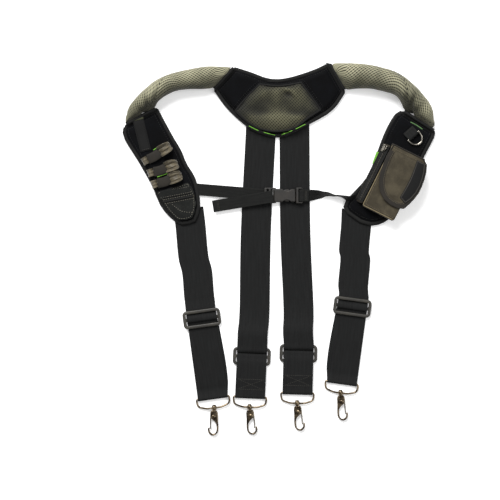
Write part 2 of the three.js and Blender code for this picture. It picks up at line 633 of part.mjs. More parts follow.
function buildHook(strap) {
  const boss = bossOf(strap);
  const along = hookTurn(strap);
  const group = heading(boss, [boss[0] + Math.cos(along), boss[1] + Math.sin(along)], HOOK_LEVEL);
  const side = strap.opens;
  const mirrored = (geometry) => {
    if (side > 0) return geometry;
    return geometry.rotateX(Math.PI);
  };
  const plate = slab(outline(HOOK_OUTLINE, 3), -HOOK_THICK / 2, HOOK_THICK, 0.8);
  const stud = rod('x', STUD_R, 2 * BOSS_HALF + 3.2, [0.3, 0, 0], 12);
  const head = rod('x', STUD_R + 1.5, 1.5, [-BOSS_HALF - GAP - 0.75, 0, 0], 12);
  const slotHalf = GATE_THICK / 2 + GAP;
  const slot = block(9.5, 26, -3, 12, -slotHalf, slotHalf);
  const rivet = rod('z', RIVET_R, HOOK_THICK, [...RIVET_AT, 0], 12);
  const rivetHead = rod('z', RIVET_R + 1.1, HOOK_THICK + 1.2, [...RIVET_AT, 0], 12);
  const body = joined(cut(joined(plate, stud, head, rivetHead), slot), rivet);
  place(`${strap.name}_hook`, mirrored(body), agedNickel, group);

  const [x, y] = RIVET_AT;
  const lever = outline([
    [[x - 3, y - 1], [x - 1, y - 3], [x + 2, y - 2.4], [x + 3.4, y]],
    [[x + 3.4, y], [x + 4.4, 4.4]],
    [[x + 4.4, 4.4], [26, 4.5], [34.6, 4.4]],
    [[34.6, 4.4], [35.6, 5.6], [34.6, 6.7]],
    [[34.6, 6.7], [22, 6.9], [x - 2, 6.6]],
    [[x - 2, 6.6], [x - 3.6, 4], [x - 3, y - 1]],
  ], 3);
  const eye = rod('z', RIVET_R + GAP, HOOK_THICK, [x, y, 0], 12);
  const gate = cut(slab(lever, -GATE_THICK / 2, GATE_THICK, 0.4), eye);
  place(`${strap.name}_gate`, mirrored(gate), brightNickel, group);
}

// ---- chest strap and side-release buckle, in the buckle's own frame ----
function buildSocket(group) {
  const half = SOCKET_THICK / 2;
  const bodyShape = roundedRectangle(SOCKET_LONG, SOCKET_WIDE, 3);
  const body = slab(bodyShape, -half, SOCKET_THICK, 1.4, 3).translate(24 - SOCKET_LONG / 2, 0, 0);
  const ladderShape = roundedRectangle(20, LADDER_WIDE, 2.5);
  const ladder = slab(ladderShape, -0.5, 3, 0.6, 3).translate(-18, 0, 0);
  const slotHalf = CHEST_WIDE / 2 + CHEST_PLAY;
  const slotReach = CHEST_THICK / 2 + 0.3 + 0.04 * CHEST_WIDE; // the webbing crosses the slots askew
  const slots = [-LADDER_SLOT - 7, -LADDER_SLOT].map((x) => (
    block(x - slotReach, x + slotReach, -slotHalf, slotHalf, -half, half)));
  const cavity = block(-8, 25, -CAVITY_HALF_WIDE, CAVITY_HALF_WIDE, -CAVITY_HALF_HIGH, CAVITY_HALF_HIGH);
  const thumbs = [-1, 1].map((side) => rod('z', 9.5, 2 * SOCKET_THICK, [9.5, side * 16.6, 0], 20));
  const notch = block(-13, -11.5, -slotHalf, slotHalf, -half - 1, -0.6);
  const whole = joined(body, ladder);
  place('buckle_socket', cut(whole, ...slots, cavity, ...thumbs, notch), brownPlastic, group);
}

function buildClip(group) {
  const half = CLIP_THICK / 2;
  const base = slab(roundedRectangle(11.4, CLIP_WIDE, 2.5), -half, CLIP_THICK, 1, 3).translate(30.3, 0, 0);
  const slotHalf = CHEST_WIDE / 2 + CHEST_PLAY;
  const slot = block(28.9, 32, -slotHalf, slotHalf, -9, 9);
  const above = block(31, 40, -slotHalf, slotHalf, 1.5, 9);
  const below = block(31, 40, -slotHalf, slotHalf, -9, -1.5);
  const tongue = block(3, 26, -1.4, 1.4, -PRONG_THICK / 2, PRONG_THICK / 2);
  place('buckle_clip', joined(cut(base, slot, above, below), tongue), brownPlastic, group);

  for (const side of [1, -1]) {
    const arm = outline([
      [[24.3, 5.2], [14, 5.4], [2, 5.6]],
      [[2, 5.6], [3, 7.2], [6, 9.2], [9, 10]],
      [[9, 10], [13.2, 10]],
      [[13.2, 10], [13.4, 8.1]],
      [[13.4, 8.1], [18, 7.9], [24.3, 8.1]],
      [[24.3, 8.1], [24.3, 5.2]],
    ], 3);
    const prong = slab(arm, -PRONG_THICK / 2, PRONG_THICK, 0.4);
    if (side < 0) prong.rotateX(Math.PI);
    place(side > 0 ? 'buckle_prong_upper' : 'buckle_prong_lower', prong, brownPlastic, group);
  }

  const fold = strip([
    [46, -0.85], [40, -0.9], [36.5, -2.5], [31.5, -2.5], [30.4, -1.5], [30.4, 1.5],
    [31.5, 2.5], [36.5, 2.5], [40, 0.9], [46, 0.85],
  ], CHEST_WIDE, CHEST_THICK);
  place('chest_strap_fold', fold, blackWebbing, group);
}

function buildChestStraps(group) {
  const drop = CHEST_LEVEL - BUCKLE_LEVEL;
  const slotAt = [BUCKLE_AT[0] - LADDER_SLOT, BUCKLE_AT[1]];
  const reach = Math.hypot(CHEST_LEFT_END[0] - slotAt[0], CHEST_LEFT_END[1] - slotAt[1]);
  const left = heading(slotAt, CHEST_LEFT_END, BUCKLE_LEVEL);
  const path = [[-0.2, 1.6], [-0.2, -0.7], [1, drop - 0.4], [11, drop], [reach, drop]];
  place('chest_strap_left', strip(path, CHEST_WIDE, CHEST_THICK), blackWebbing, left);

  const tailStart = BUCKLE_AT[0] - SOCKET_LONG / 3 - 0.1 * CHEST_WIDE + 0.7; // askew, clear of the socket
  const tail = heading([tailStart, 89.5], [tailStart - 100, 72.7], BUCKLE_LEVEL);
  const tailPath = [[0, 3.6], [17, 3.6], [34, 2.0], [60, 1.2], [101.5, 0.9]];
  place('chest_strap_tail', strip(tailPath, CHEST_WIDE, CHEST_THICK), blackWebbing, tail);

  // the right webbing stands on edge half way along
  const start = [BUCKLE_AT[0] + 46.6, BUCKLE_AT[1]];
  const path3d = new THREE.CatmullRomCurve3([
    [start[0], start[1], BUCKLE_LEVEL], [start[0] + 10, start[1], BUCKLE_LEVEL], [74, 93, 9],
    [88, 94.5, 12], [97, 91.5, 9.6], [106, 87.6, CHEST_LEVEL], [CHEST_RIGHT_END[0] - 8, 85, CHEST_LEVEL],
    [CHEST_RIGHT_END[0] - 0.5, 83.1, CHEST_LEVEL],
  ].map((point) => new THREE.Vector3(...point)));
  const geometry = new THREE.BoxGeometry(1, 1, 1, 26, 2, 1);
  const position = geometry.attributes.position;
  const up = new THREE.Vector3(0, 0, 1);
  for (let i = 0; i < position.count; i += 1) {
    const along = position.getX(i) + 0.5;
    const tangent = path3d.getTangent(along);
    const side = up.clone().cross(tangent).normalize();
    const face = tangent.clone().cross(side).normalize();
    const swing = Math.PI * 0.47 * Math.sin(Math.PI * THREE.MathUtils.smoothstep(along, 0.05, 0.68)) ** 1.5;
    const across = side.clone().multiplyScalar(Math.cos(swing)).addScaledVector(face, Math.sin(swing));
    const through = face.clone().multiplyScalar(Math.cos(swing)).addScaledVector(side, -Math.sin(swing));
    const point = path3d.getPoint(along);
    point.addScaledVector(across, position.getY(i) * CHEST_WIDE);
    point.addScaledVector(through, position.getZ(i) * CHEST_THICK);
    position.setXYZ(i, point.x, point.y, point.z);
  }
  place('chest_strap_right', geometry, blackWebbing);
}

function buildChest() {
  const group = new THREE.Group();
  group.position.set(BUCKLE_AT[0], BUCKLE_AT[1], BUCKLE_LEVEL);
  harness.add(group);
  buildSocket(group);
  buildClip(group);
  buildChestStraps(group);
}

buildYoke();
buildRoll('left');
buildRoll('right');
buildPads();
buildLeftKit();
buildPouch();
buildRing();
for (const strap of STRAPS) {
  buildStrap(strap);
  buildLoop(strap);
  buildHook(strap);
}
buildChest();

// the origin is on the table, under the middle of the whole harness
const whole = new THREE.Box3().setFromObject(harness);
harness.position.set(-(whole.min.x + whole.max.x) / 2, -(whole.min.y + whole.max.y) / 2, -whole.min.z);

export default harness;
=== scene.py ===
import json
import math

import bmesh
import bpy
import numpy as np
from mathutils import Matrix, Vector, noise


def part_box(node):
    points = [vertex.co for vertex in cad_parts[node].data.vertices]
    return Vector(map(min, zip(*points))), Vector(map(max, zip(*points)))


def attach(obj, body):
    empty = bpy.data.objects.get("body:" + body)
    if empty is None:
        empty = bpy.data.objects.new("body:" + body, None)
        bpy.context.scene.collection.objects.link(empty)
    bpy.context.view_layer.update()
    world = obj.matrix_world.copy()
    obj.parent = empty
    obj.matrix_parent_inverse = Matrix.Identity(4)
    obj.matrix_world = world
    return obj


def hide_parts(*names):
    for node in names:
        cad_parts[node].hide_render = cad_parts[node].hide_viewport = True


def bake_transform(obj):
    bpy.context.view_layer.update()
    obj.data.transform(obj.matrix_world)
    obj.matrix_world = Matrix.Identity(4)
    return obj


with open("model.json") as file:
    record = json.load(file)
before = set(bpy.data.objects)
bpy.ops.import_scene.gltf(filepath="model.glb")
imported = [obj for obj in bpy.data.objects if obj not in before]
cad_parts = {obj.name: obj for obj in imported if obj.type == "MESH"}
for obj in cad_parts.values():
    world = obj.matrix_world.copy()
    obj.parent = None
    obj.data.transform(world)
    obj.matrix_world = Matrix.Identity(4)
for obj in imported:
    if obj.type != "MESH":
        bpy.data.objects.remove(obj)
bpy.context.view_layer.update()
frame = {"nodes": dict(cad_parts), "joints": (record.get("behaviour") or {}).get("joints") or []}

# Padded shoulder harness for a tool belt, laid out flat on a pale floor, seen from straight above.
# Metres. X runs across the harness, Y from the hooks towards the neck, Z up.

MM = 0.001
UP = Vector((0, 0, 1))
JOINTS = {joint["name"]: joint for joint in frame["joints"]}
STRAPS = ("front_left", "back_left", "back_right", "front_right")


# ---------------------------------------------------------------- reading the frame

def pivot(joint):
    return Vector(JOINTS[joint]["pos_m"])


def axis(joint):
    return Vector(JOINTS[joint]["axis"]).normalized()


def vertices(piece):
    """The piece's vertices as rows of numbers."""
    rows = np.empty(len(piece.data.vertices) * 3)
    piece.data.vertices.foreach_get("co", rows)
    return rows.reshape(-1, 3)


def place_vertices(piece, rows):
    piece.data.vertices.foreach_set("co", rows.ravel())
    piece.data.update()


def middle(node):
    low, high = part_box(node)
    return (low + high) / 2


class Lie:
    """How a long flat node lies in the plan: its middle, its directions and its size."""

    def __init__(self, node, towards):
        rows = vertices(frame["nodes"][node])[:, :2]
        long_way = np.linalg.svd(rows - rows.mean(0), full_matrices=False)[2][0]
        self.along = Vector((*long_way, 0)).normalized()
        if self.along.dot(towards) < 0:
            self.along.negate()
        self.across = UP.cross(self.along)
        u = rows @ np.array(self.along[:2])
        v = rows @ np.array(self.across[:2])
        self.centre = self.along * (u.min() + u.max()) / 2 + self.across * (v.min() + v.max()) / 2
        self.long = u.max() - u.min()
        self.wide = v.max() - v.min()
        self.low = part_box(node)[0].z
        self.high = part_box(node)[1].z

    def at(self, u, v, z):
        return self.centre + self.along * u + self.across * v + UP * z


def outline_of(node, height):
    """The node's outline at a share of its height, as plan points in order, anticlockwise."""
    low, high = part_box(node)
    shape = bmesh.new()
    shape.from_mesh(frame["nodes"][node].data)
    bmesh.ops.remove_doubles(shape, verts=shape.verts, dist=0.01 * MM)
    level = low.lerp(high, height)
    cut = bmesh.ops.bisect_plane(
        shape, geom=shape.verts[:] + shape.edges[:] + shape.faces[:], plane_co=level, plane_no=UP
    )
    edges = [item for item in cut["geom_cut"] if isinstance(item, bmesh.types.BMEdge)]
    loop = chained(edges)
    shape.free()
    area = sum(a.x * b.y - b.x * a.y for a, b in zip(loop, loop[1:] + loop[:1]))
    return loop if area > 0 else loop[::-1]


def chained(edges):
    """The longest closed loop of points among loose edges."""
    left = {edge: None for edge in edges}
    best = []
    while left:
        first = next(iter(left))
        vert = first.verts[0]
        loop = []
        edge = first
        while edge is not None:
            left.pop(edge, None)
            loop.append(vert.co.copy())
            vert = edge.other_vert(vert)
            edge = next((e for e in vert.link_edges if e in left), None)
        if len(loop) > len(best):
            best = loop
    return best


# ---------------------------------------------------------------- paths

def smooth_path(points, pieces=8, closed=False):
    """A Catmull-Rom curve through the points."""
    points = [Vector(p) for p in points]
    count = len(points)
    path = []
    for i in range(count if closed else count - 1):
        if closed:
            a, b, c, d = (points[(i + k) % count] for k in (-1, 0, 1, 2))
        else:
            b, c = points[i], points[i + 1]
            a = points[i - 1] if i > 0 else b * 2 - c
            d = points[i + 2] if i + 2 < count else c * 2 - b
        for k in range(pieces):
            t = k / pieces
            path.append(0.5 * (2 * b + (c - a) * t + (2 * a - 5 * b + 4 * c - d) * t * t
                               + (3 * b - a - 3 * c + d) * t ** 3))
    if not closed:
        path.append(points[-1])
    return path


def path_length(path):
    return sum((b - a).length for a, b in zip(path, path[1:]))


def even_steps(path, step, closed=False):
    """The path again, with points about one step apart."""
    rows = np.array([tuple(p) for p in (path + path[:1] if closed else path)])
    gaps = np.linalg.norm(np.diff(rows, axis=0), axis=1)
    marks = np.concatenate([[0], np.cumsum(gaps)])
    count = max(int(round(marks[-1] / step)), 3)
    wanted = np.linspace(0, marks[-1], count + 1)
    if closed:
        wanted = wanted[:-1]
    return [Vector([np.interp(s, marks, rows[:, k]) for k in range(3)]) for s in wanted]


def moved_in(loop, distance):
    """A closed anticlockwise plan loop moved inwards."""
    count = len(loop)
    moved = []
    for i in range(count):
        run = (loop[(i + 1) % count] - loop[i - 1]).normalized()
        moved.append(loop[i] + UP.cross(run) * distance)
    return moved


def level_at(loop, z):
    return [Vector((p.x, p.y, z)) for p in loop]


def inside_distance(rows, loop):
    """How far plan points are from the edge of a loop."""
    a = np.array([tuple(p)[:2] for p in loop])
    b = np.roll(a, -1, axis=0)
    run = b - a
    best = np.full(len(rows), 1e9)
    for start, step in zip(a, run):
        size = max(step @ step, 1e-12)
        t = np.clip((rows[:, :2] - start) @ step / size, 0, 1)
        gap = np.linalg.norm(rows[:, :2] - start - t[:, None] * step, axis=1)
        best = np.minimum(best, gap)
    return best


def ease(x, low, high):
    t = np.clip((x - low) / (high - low), 0, 1)
    return t * t * (3 - 2 * t)


def hump(x, middle_x, half):
    return np.exp(-((x - middle_x) / half) ** 2)


# ---------------------------------------------------------------- making pieces

def piece_from(name, shape):
    """A finished bmesh as a smooth-shaded object."""
    mesh = bpy.data.meshes.new(name)
    shape.to_mesh(mesh)
    shape.free()
    return piece_with(name, mesh)


def piece_with(name, mesh):
    piece = bpy.data.objects.new(name, mesh)
    bpy.context.scene.collection.objects.link(piece)
    mesh.polygons.foreach_set("use_smooth", [True] * len(mesh.polygons))
    return piece


def settle(piece):
    """Applies the piece's modifiers to its mesh."""
    bpy.context.view_layer.update()
    graph = bpy.context.evaluated_depsgraph_get()
    mesh = bpy.data.meshes.new_from_object(piece.evaluated_get(graph))
    old = piece.data
    piece.modifiers.clear()
    piece.data = mesh
    bpy.data.meshes.remove(old)
    mesh.polygons.foreach_set("use_smooth", [True] * len(mesh.polygons))
    return piece


def remesh(piece, voxel):
    change = piece.modifiers.new("skin", "REMESH")
    change.mode = "VOXEL"
    change.voxel_size = voxel
    return settle(piece)


def relax(piece, rounds, strength=0.5):
    change = piece.modifiers.new("relax", "SMOOTH")
    change.factor = strength
    change.iterations = rounds
    return settle(piece)


def finer(piece, levels=1):
    change = piece.modifiers.new("finer", "SUBSURF")
    change.levels = levels
    change.render_levels = levels
    return settle(piece)


def rounded(piece, width, segments=2, angle=35):
    change = piece.modifiers.new("rounded", "BEVEL")
    change.width = width
    change.segments = segments
    change.limit_method = "ANGLE"
    change.angle_limit = math.radians(angle)
    return settle(piece)


def plate(name, loop, low, high):
    """A flat plate of a plan outline."""
    shape = bmesh.new()
    face = shape.faces.new([shape.verts.new((p.x, p.y, low)) for p in loop])
    raised = bmesh.ops.extrude_face_region(shape, geom=[face])["geom"]
    tops = [item for item in raised if isinstance(item, bmesh.types.BMVert)]
    bmesh.ops.translate(shape, verts=tops, vec=(0, 0, high - low))
    bmesh.ops.triangulate(shape, faces=[f for f in shape.faces if len(f.verts) > 4])
    bmesh.ops.recalc_face_normals(shape, faces=shape.faces)
    return piece_from(name, shape)


def copy_of(name, *nodes):
    """CAD nodes merged into one closed piece."""
    shape = bmesh.new()
    for node in nodes:
        shape.from_mesh(frame["nodes"][node].data)
    bmesh.ops.remove_doubles(shape, verts=shape.verts, dist=0.005 * MM)
    return piece_from(name, shape)


def moulded(name, node, grain, rounds, material, body):
    """A CAD node's own shape with its edges melted round, as a cast or moulded piece has them."""
    piece = remesh(copy_of(name, node), grain)
    relax(piece, rounds)
    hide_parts(node)
    return finished(piece, material, body)


def tape(name, path, half_wide, half_high, closed=False, power=2.0, sides=16):
    """A rod, tape or binding along a path: a section whose width lies in the plan and height along Z."""
    path = [Vector(p) for p in path]
    section = bpy.data.curves.new(name + "_section", "CURVE")
    line = section.splines.new("POLY")
    line.points.add(sides - 1)
    for i in range(sides):
        turn = 2 * math.pi * i / sides
        c, s = math.cos(turn), math.sin(turn)
        x = math.copysign(abs(c) ** (2 / power), c) * half_wide
        y = math.copysign(abs(s) ** (2 / power), s) * half_high
        line.points[i].co = (x, y, 0, 1)
    line.use_cyclic_u = True
    section_piece = bpy.data.objects.new(name + "_section", section)
    bpy.context.scene.collection.objects.link(section_piece)
    curve = bpy.data.curves.new(name, "CURVE")
    curve.dimensions = "3D"
    curve.twist_mode = "Z_UP"
    curve.bevel_mode = "OBJECT"
    curve.bevel_object = section_piece
    curve.use_fill_caps = not closed
    run = curve.splines.new("POLY")
    run.points.add(len(path) - 1)
    for point, place in zip(run.points, path):
        point.co = (*place, 1)
    run.use_cyclic_u = closed
    holder = bpy.data.objects.new(name + "_run", curve)
    bpy.context.scene.collection.objects.link(holder)
    bpy.context.view_layer.update()
    graph = bpy.context.evaluated_depsgraph_get()
    mesh = bpy.data.meshes.new_from_object(holder.evaluated_get(graph))
    for used in (holder, section_piece):
        bpy.data.objects.remove(used)
    shape = bmesh.new()
    shape.from_mesh(mesh)
    bpy.data.meshes.remove(mesh)
    bmesh.ops.remove_doubles(shape, verts=shape.verts, dist=0.002 * MM)
    bmesh.ops.recalc_face_normals(shape, faces=shape.faces)
    return piece_from(name, shape)


def ribbon(name, path, wide, thick, across, wave=None, spread=None, columns=12, step=3 * MM):
    """A strip of webbing. across(t) is its direction across at t from 0 to 1 of its length.

    wave(u, t) is a small rise at u from -0.5 to 0.5 across, and spread(t) is its share of the full
    width. Its cloth map is in metres.
    """
    points = even_steps(path, step)
    length = path_length(points)
    rows = np.array([tuple(p) for p in points])
    marks = np.linspace(0, 1, len(points))
    along = lambda t: Vector([np.interp(t, marks, rows[:, k]) for k in range(3)])
    shape = bmesh.new()
    bmesh.ops.create_grid(shape, x_segments=columns, y_segments=len(points) - 1, size=0.5)
    cloth = shape.loops.layers.uv.new("cloth")
    for face in shape.faces:
        for loop in face.loops:
            x, y, _ = loop.vert.co
            loop[cloth].uv = (x * wide, (y + 0.5) * length)
    for vert in shape.verts:
        u, t = vert.co.x, vert.co.y + 0.5
        side = across(t).normalized()
        run_way = along(min(t + 0.01, 1)) - along(max(t - 0.01, 0))
        face_way = side.cross(run_way).normalized()
        rise = wave(u, t) if wave else 0
        share = spread(t) if spread else 1
        vert.co = along(t) + side * (u * wide * share) + face_way * rise
    piece = piece_from(name, shape)
    solid = piece.modifiers.new("thick", "SOLIDIFY")
    solid.thickness = thick
    solid.offset = 0
    settle(piece)
    return rounded(piece, 0.3 * thick, 2, 60)


def swell(piece, cap, pressure=4.0, frames=20):
    """Blows the piece up as cloth, so that its skin looks stuffed. No point moves further than cap."""
    scene = bpy.context.scene
    start = vertices(piece)
    cloth = piece.modifiers.new("cloth", "CLOTH")
    cloth.settings.quality = 5
    cloth.settings.mass = 0.2
    cloth.settings.use_pressure = True
    cloth.settings.uniform_pressure_force = pressure
    cloth.settings.effector_weights.gravity = 0
    cloth.point_cache.frame_start = 1
    cloth.point_cache.frame_end = frames
    for number in range(1, frames + 1):
        scene.frame_set(number)
    settle(piece)
    scene.frame_set(1)
    moved = vertices(piece) - start
    size = np.linalg.norm(moved, axis=1, keepdims=True)
    moved *= np.minimum(1, cap / np.maximum(size, 1e-9))
    place_vertices(piece, start + moved)
    return piece


def finished(piece, material, body=None):
    piece.data.materials.clear()
    piece.data.materials.append(material)
    if body:
        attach(piece, body)
    return piece


def joined(name, pieces):
    """Several loose pieces as one."""
    shape = bmesh.new()
    for piece in pieces:
        shape.from_mesh(piece.data)
        bpy.data.objects.remove(piece)
    return piece_from(name, shape)


# ---------------------------------------------------------------- stitches

def stitch_shape():
    """One short stitch of thread, one unit long, lying along X."""
    shape = bmesh.new()
    bmesh.ops.create_uvsphere(shape, u_segments=6, v_segments=5, radius=0.5)
    bmesh.ops.rotate(shape, verts=shape.verts, cent=(0, 0, 0), matrix=Matrix.Rotation(math.pi / 2, 3, "Y"))
    mesh = bpy.data.meshes.new("stitch")
    shape.to_mesh(mesh)
    shape.free()
    return mesh


STITCH = stitch_shape()


def stitches(name, runs, material, body, long=2.6 * MM, gap=1.3 * MM, thick=0.75 * MM):
    """Rows of stitches along runs of points; each run's own points lie on the cloth."""
    shape = bmesh.new()
    for run in runs:
        points = even_steps(run, long + gap)
        for a, b in zip(points, points[1:]):
            run_way = (b - a).normalized()
            side = UP.cross(run_way).normalized()
            top = run_way.cross(side)
            turn = Matrix((run_way * long, side * thick, top * thick)).transposed().to_4x4()
            before = len(shape.verts)
            shape.from_mesh(STITCH)
            shape.verts.ensure_lookup_table()
            bmesh.ops.transform(
                shape, verts=shape.verts[before:], matrix=Matrix.Translation((a + b) / 2) @ turn
            )
    return finished(piece_from(name, shape), material, body)


# ---------------------------------------------------------------- materials

def colour(code):
    """A colour written as six hexadecimal digits, in linear light."""
    parts = [int(code[i:i + 2], 16) / 255 for i in (0, 2, 4)]
    return (*[c / 12.92 if c <= 0.04045 else ((c + 0.055) / 1.055) ** 2.4 for c in parts], 1)


class Signal:
    """A number on a node's socket. Arithmetic on it adds Math nodes."""

    def __init__(self, board, socket):
        self.board = board
        self.socket = socket

    def math(self, operation, *others):
        return self.board.add("ShaderNodeMath", {"operation": operation}, [self, *others])

    def __add__(self, other):
        return self.math("ADD", other)

    def __radd__(self, other):
        return self.math("ADD", other)

    def __sub__(self, other):
        return self.math("SUBTRACT", other)

    def __rsub__(self, other):
        return self.board.add("ShaderNodeMath", {"operation": "SUBTRACT"}, [other, self])

    def __mul__(self, other):
        return self.math("MULTIPLY", other)

    def __rmul__(self, other):
        return self.math("MULTIPLY", other)

    def __truediv__(self, other):
        return self.math("DIVIDE", other)

    def sin(self):
        return self.math("SINE")

    def abs(self):
        return self.math("ABSOLUTE")

    def power(self, exponent):
        return self.math("POWER", exponent)

    def least(self, other):
        return self.math("MINIMUM", other)

    def most(self, other):
        return self.math("MAXIMUM", other)

    def ramp(self, low, high):
        """0 below low, 1 above high, smooth between."""
        settings = {"interpolation_type": "SMOOTHSTEP"}
        return self.board.add("ShaderNodeMapRange", settings, [self, low, high, 0.0, 1.0])


class Board:
    """One material's nodes."""

    def __init__(self, name):
        self.material = bpy.data.materials.new(name)
        self.material.use_nodes = True
        self.nodes = self.material.node_tree.nodes
        self.links = self.material.node_tree.links
        self.nodes.clear()
        self.shader = self.nodes.new("ShaderNodeBsdfPrincipled")
        output = self.nodes.new("ShaderNodeOutputMaterial")
        self.links.new(self.shader.outputs["BSDF"], output.inputs["Surface"])

    def add(self, kind, settings, inputs, output=0):
        """A node of a kind, its settings first, then its sockets by order or by name."""
        node = self.nodes.new(kind)
        for key, value in settings.items():
            setattr(node, key, value)
        named = inputs.items() if isinstance(inputs, dict) else enumerate(inputs)
        for key, value in named:
            if isinstance(value, Signal):
                self.links.new(value.socket, node.inputs[key])
            else:
                node.inputs[key].default_value = value
        return Signal(self, node.outputs[output])

    def cloth_map(self):
        """The piece's own map: metres across and metres along."""
        where = self.add("ShaderNodeUVMap", {"uv_map": "cloth"}, {})
        return self.split(where)

    def place(self):
        where = self.add("ShaderNodeTexCoord", {}, {}, "Object")
        return self.split(where)

    def split(self, where):
        apart = self.nodes.new("ShaderNodeSeparateXYZ")
        self.links.new(where.socket, apart.inputs[0])
        return [Signal(self, apart.outputs[k]) for k in range(3)]

    def carried(self, name):
        return self.add("ShaderNodeAttribute", {"attribute_name": name}, {}, "Fac")

    def noise(self, scale, detail=2.0, rough=0.5):
        where = self.add("ShaderNodeTexCoord", {}, {}, "Object")
        settings = {"Vector": where, "Scale": scale, "Detail": detail, "Roughness": rough}
        return self.add("ShaderNodeTexNoise", {}, settings, "Fac")

    def mix(self, share, first, second):
        settings = {"data_type": "RGBA"}
        return self.add("ShaderNodeMix", settings, {0: share, 6: first, 7: second}, 2)

    def bump(self, height, distance, strength=1.0, under=None):
        inputs = {"Strength": strength, "Distance": distance, "Height": height}
        if under is not None:
            inputs["Normal"] = under
        return self.add("ShaderNodeBump", {}, inputs)

    def finish(self, base, rough, normal=None, **fixed):
        sockets = {"Base Color": base, "Roughness": rough, "Normal": normal}
        for key, value in sockets.items():
            if isinstance(value, Signal):
                self.links.new(value.socket, self.shader.inputs[key])
            elif value is not None:
                self.shader.inputs[key].default_value = value
        for key, value in fixed.items():
            self.shader.inputs[key.replace("_", " ")].default_value = value
        return self.material


TURN = 2 * math.pi


def webbing_material(name, dark, light, rib=1.5 * MM, half_wide=None):
    """Woven strap: columns of slanting yarns, a raised edge cord, a little dusty."""
    board = Board(name)
    across, along, _ = board.cloth_map()
    column = (across * (TURN / (2 * rib))).sin()
    slant = column.abs() * 2.2
    yarn = (along * (TURN / (0.9 * rib)) + slant).sin()
    height = yarn * 0.5 + column.abs() * 0.6
    if half_wide:
        height = height + across.abs().ramp(half_wide - 2.2 * MM, half_wide - 1.6 * MM) * 0.8
    streak_place = board.add("ShaderNodeCombineXYZ", {}, [across * 420, along * 26, 0.0])
    streak = board.add("ShaderNodeTexNoise", {}, {"Vector": streak_place, "Scale": 1.0, "Detail": 3.0}, "Fac")
    wear = board.noise(42, 4.0, 0.6).ramp(0.4, 0.72)
    lint = board.noise(900, 2.0).ramp(0.6, 0.78)
    shade = height * 0.22 + streak.ramp(0.3, 0.75) * 0.45 + wear * 0.4 + lint * 0.25
    base = board.mix(shade.most(0.0).least(1.0), colour(dark), colour(light))
    normal = board.bump(height, 0.16 * MM, 0.9)
    return board.finish(
        base, wear * 0.1 + 0.72, normal, Sheen_Weight=0.03, Sheen_Roughness=0.4, Specular_IOR_Level=0.22
    )


def plain_cloth_material(name, dark, light, pitch=0.8 * MM, sheen=0.15, rough=0.82):
    """Close plain weave, read straight down through the piece."""
    board = Board(name)
    x, y, z = board.place()
    a = ((x + z) * (TURN / pitch)).sin()
    b = ((y + z * 0.7) * (TURN / pitch)).sin()
    weave = a * b
    mottle = board.noise(38, 4.0, 0.6)
    dust = board.noise(700, 2.0).ramp(0.5, 0.8)
    shade = (weave * 0.18 + mottle.ramp(0.35, 0.7) * 0.5 + dust * 0.3).most(0.0).least(1.0)
    base = board.mix(shade, colour(dark), colour(light))
    normal = board.bump(weave, 0.1 * MM, 0.6, under=board.bump(mottle, 1.2 * MM, 0.5))
    return board.finish(
        base, mottle * 0.12 + (rough - 0.06), normal,
        Sheen_Weight=sheen, Sheen_Roughness=0.5, Specular_IOR_Level=0.1,
    )


def air_mesh_height(p, q, cell, cross):
    """Open knitted cells: 0 in a hole, 1 on a thread. p and q run along the two slanting rows."""
    one = (p * (TURN / (2 * cell))).sin().abs()
    two = (q * (TURN / (2 * cell))).sin().abs()
    return one * (1 - cross) + two * cross


def air_mesh_material(name, hole, thread, light, cell, cross, mapped):
    """Spacer mesh: pale slanting threads over dark open cells, darkened by painted shade from the piece's carried
    number. cross is how much the second slant shows.
    """
    board = Board(name)
    if mapped:
        a, b = board.carried("weave_along"), board.carried("weave_round")
    else:
        a, b, _ = board.place()
    p, q = (a + b) * math.sqrt(0.5), (a - b) * math.sqrt(0.5)
    height = air_mesh_height(p, q * 0.8, cell, cross)
    open_part = height.ramp(0.3, 0.72)
    knit = (p * (TURN / (0.35 * cell))).sin()
    mottle = board.noise(22, 3.0, 0.5).ramp(0.3, 0.75)
    # Painted shade: the carried number darkens the threads and shows more of the dark cells in creases, valleys and on
    # the side turned from the light.
    painted_shade = board.carried("painted_shade")
    shade = (mottle * 0.6 + knit * 0.12 + 0.45 - painted_shade * 0.6).most(0.0).least(1.0)
    bright = board.mix(shade, colour(thread), colour(light))
    base = board.mix(open_part * (1.0 - painted_shade * 0.35), colour(hole), bright)
    normal = board.bump(open_part + knit * 0.06, 0.9 * MM, 0.9)
    return board.finish(
        base, 0.86 - open_part * 0.2, normal, Sheen_Weight=0.08, Sheen_Roughness=0.45, Specular_IOR_Level=0.3
    )


def elastic_material():
    """Shiny gathered elastic: fine ribs along the band and soft puckers."""
    board = Board("tan_elastic")
    across, along, _ = board.cloth_map()
    rib = (across * (TURN / (1.1 * MM))).sin()
    pucker = board.noise(190, 2.0)
    shade = (pucker.ramp(0.3, 0.75) * 0.45 + rib * 0.16 + 0.3).least(1.0)
    base = board.mix(shade, colour("211d16"), colour("6f654f"))
    normal = board.bump(rib * 0.3 + pucker * 0.5, 0.5 * MM, 0.8)
    return board.finish(base, 0.5, normal, Sheen_Weight=0.5, Sheen_Roughness=0.3)


def metal_material(name, dark, light, rough, worn):
    """Plated casting: cloudy plating, fine scratches, and a painted highlight on its sharp edges."""
    board = Board(name)
    cloud = board.noise(140, 4.0, 0.6)
    scratch = board.noise(1500, 1.0)
    drawn = board.noise(7000, 3.0)
    sharp = board.add("ShaderNodeNewGeometry", {}, {}, "Pointiness")
    # Painted highlight: the sharpest edges are made lighter.
    edge_highlight = sharp.ramp(0.5, 0.58)
    shade = (cloud.ramp(0.38, 0.62) * 0.55 + drawn.ramp(0.4, 0.7) * worn + edge_highlight * 0.5 - 0.1).most(0.0).least(1.0)
    base = board.mix(shade, colour(dark), colour(light))
    normal = board.bump(cloud * 0.5 + scratch * 0.15, 0.12 * MM, 0.6)
    return board.finish(base, cloud * 0.18 + rough + scratch * 0.05, normal, Metallic=1.0)


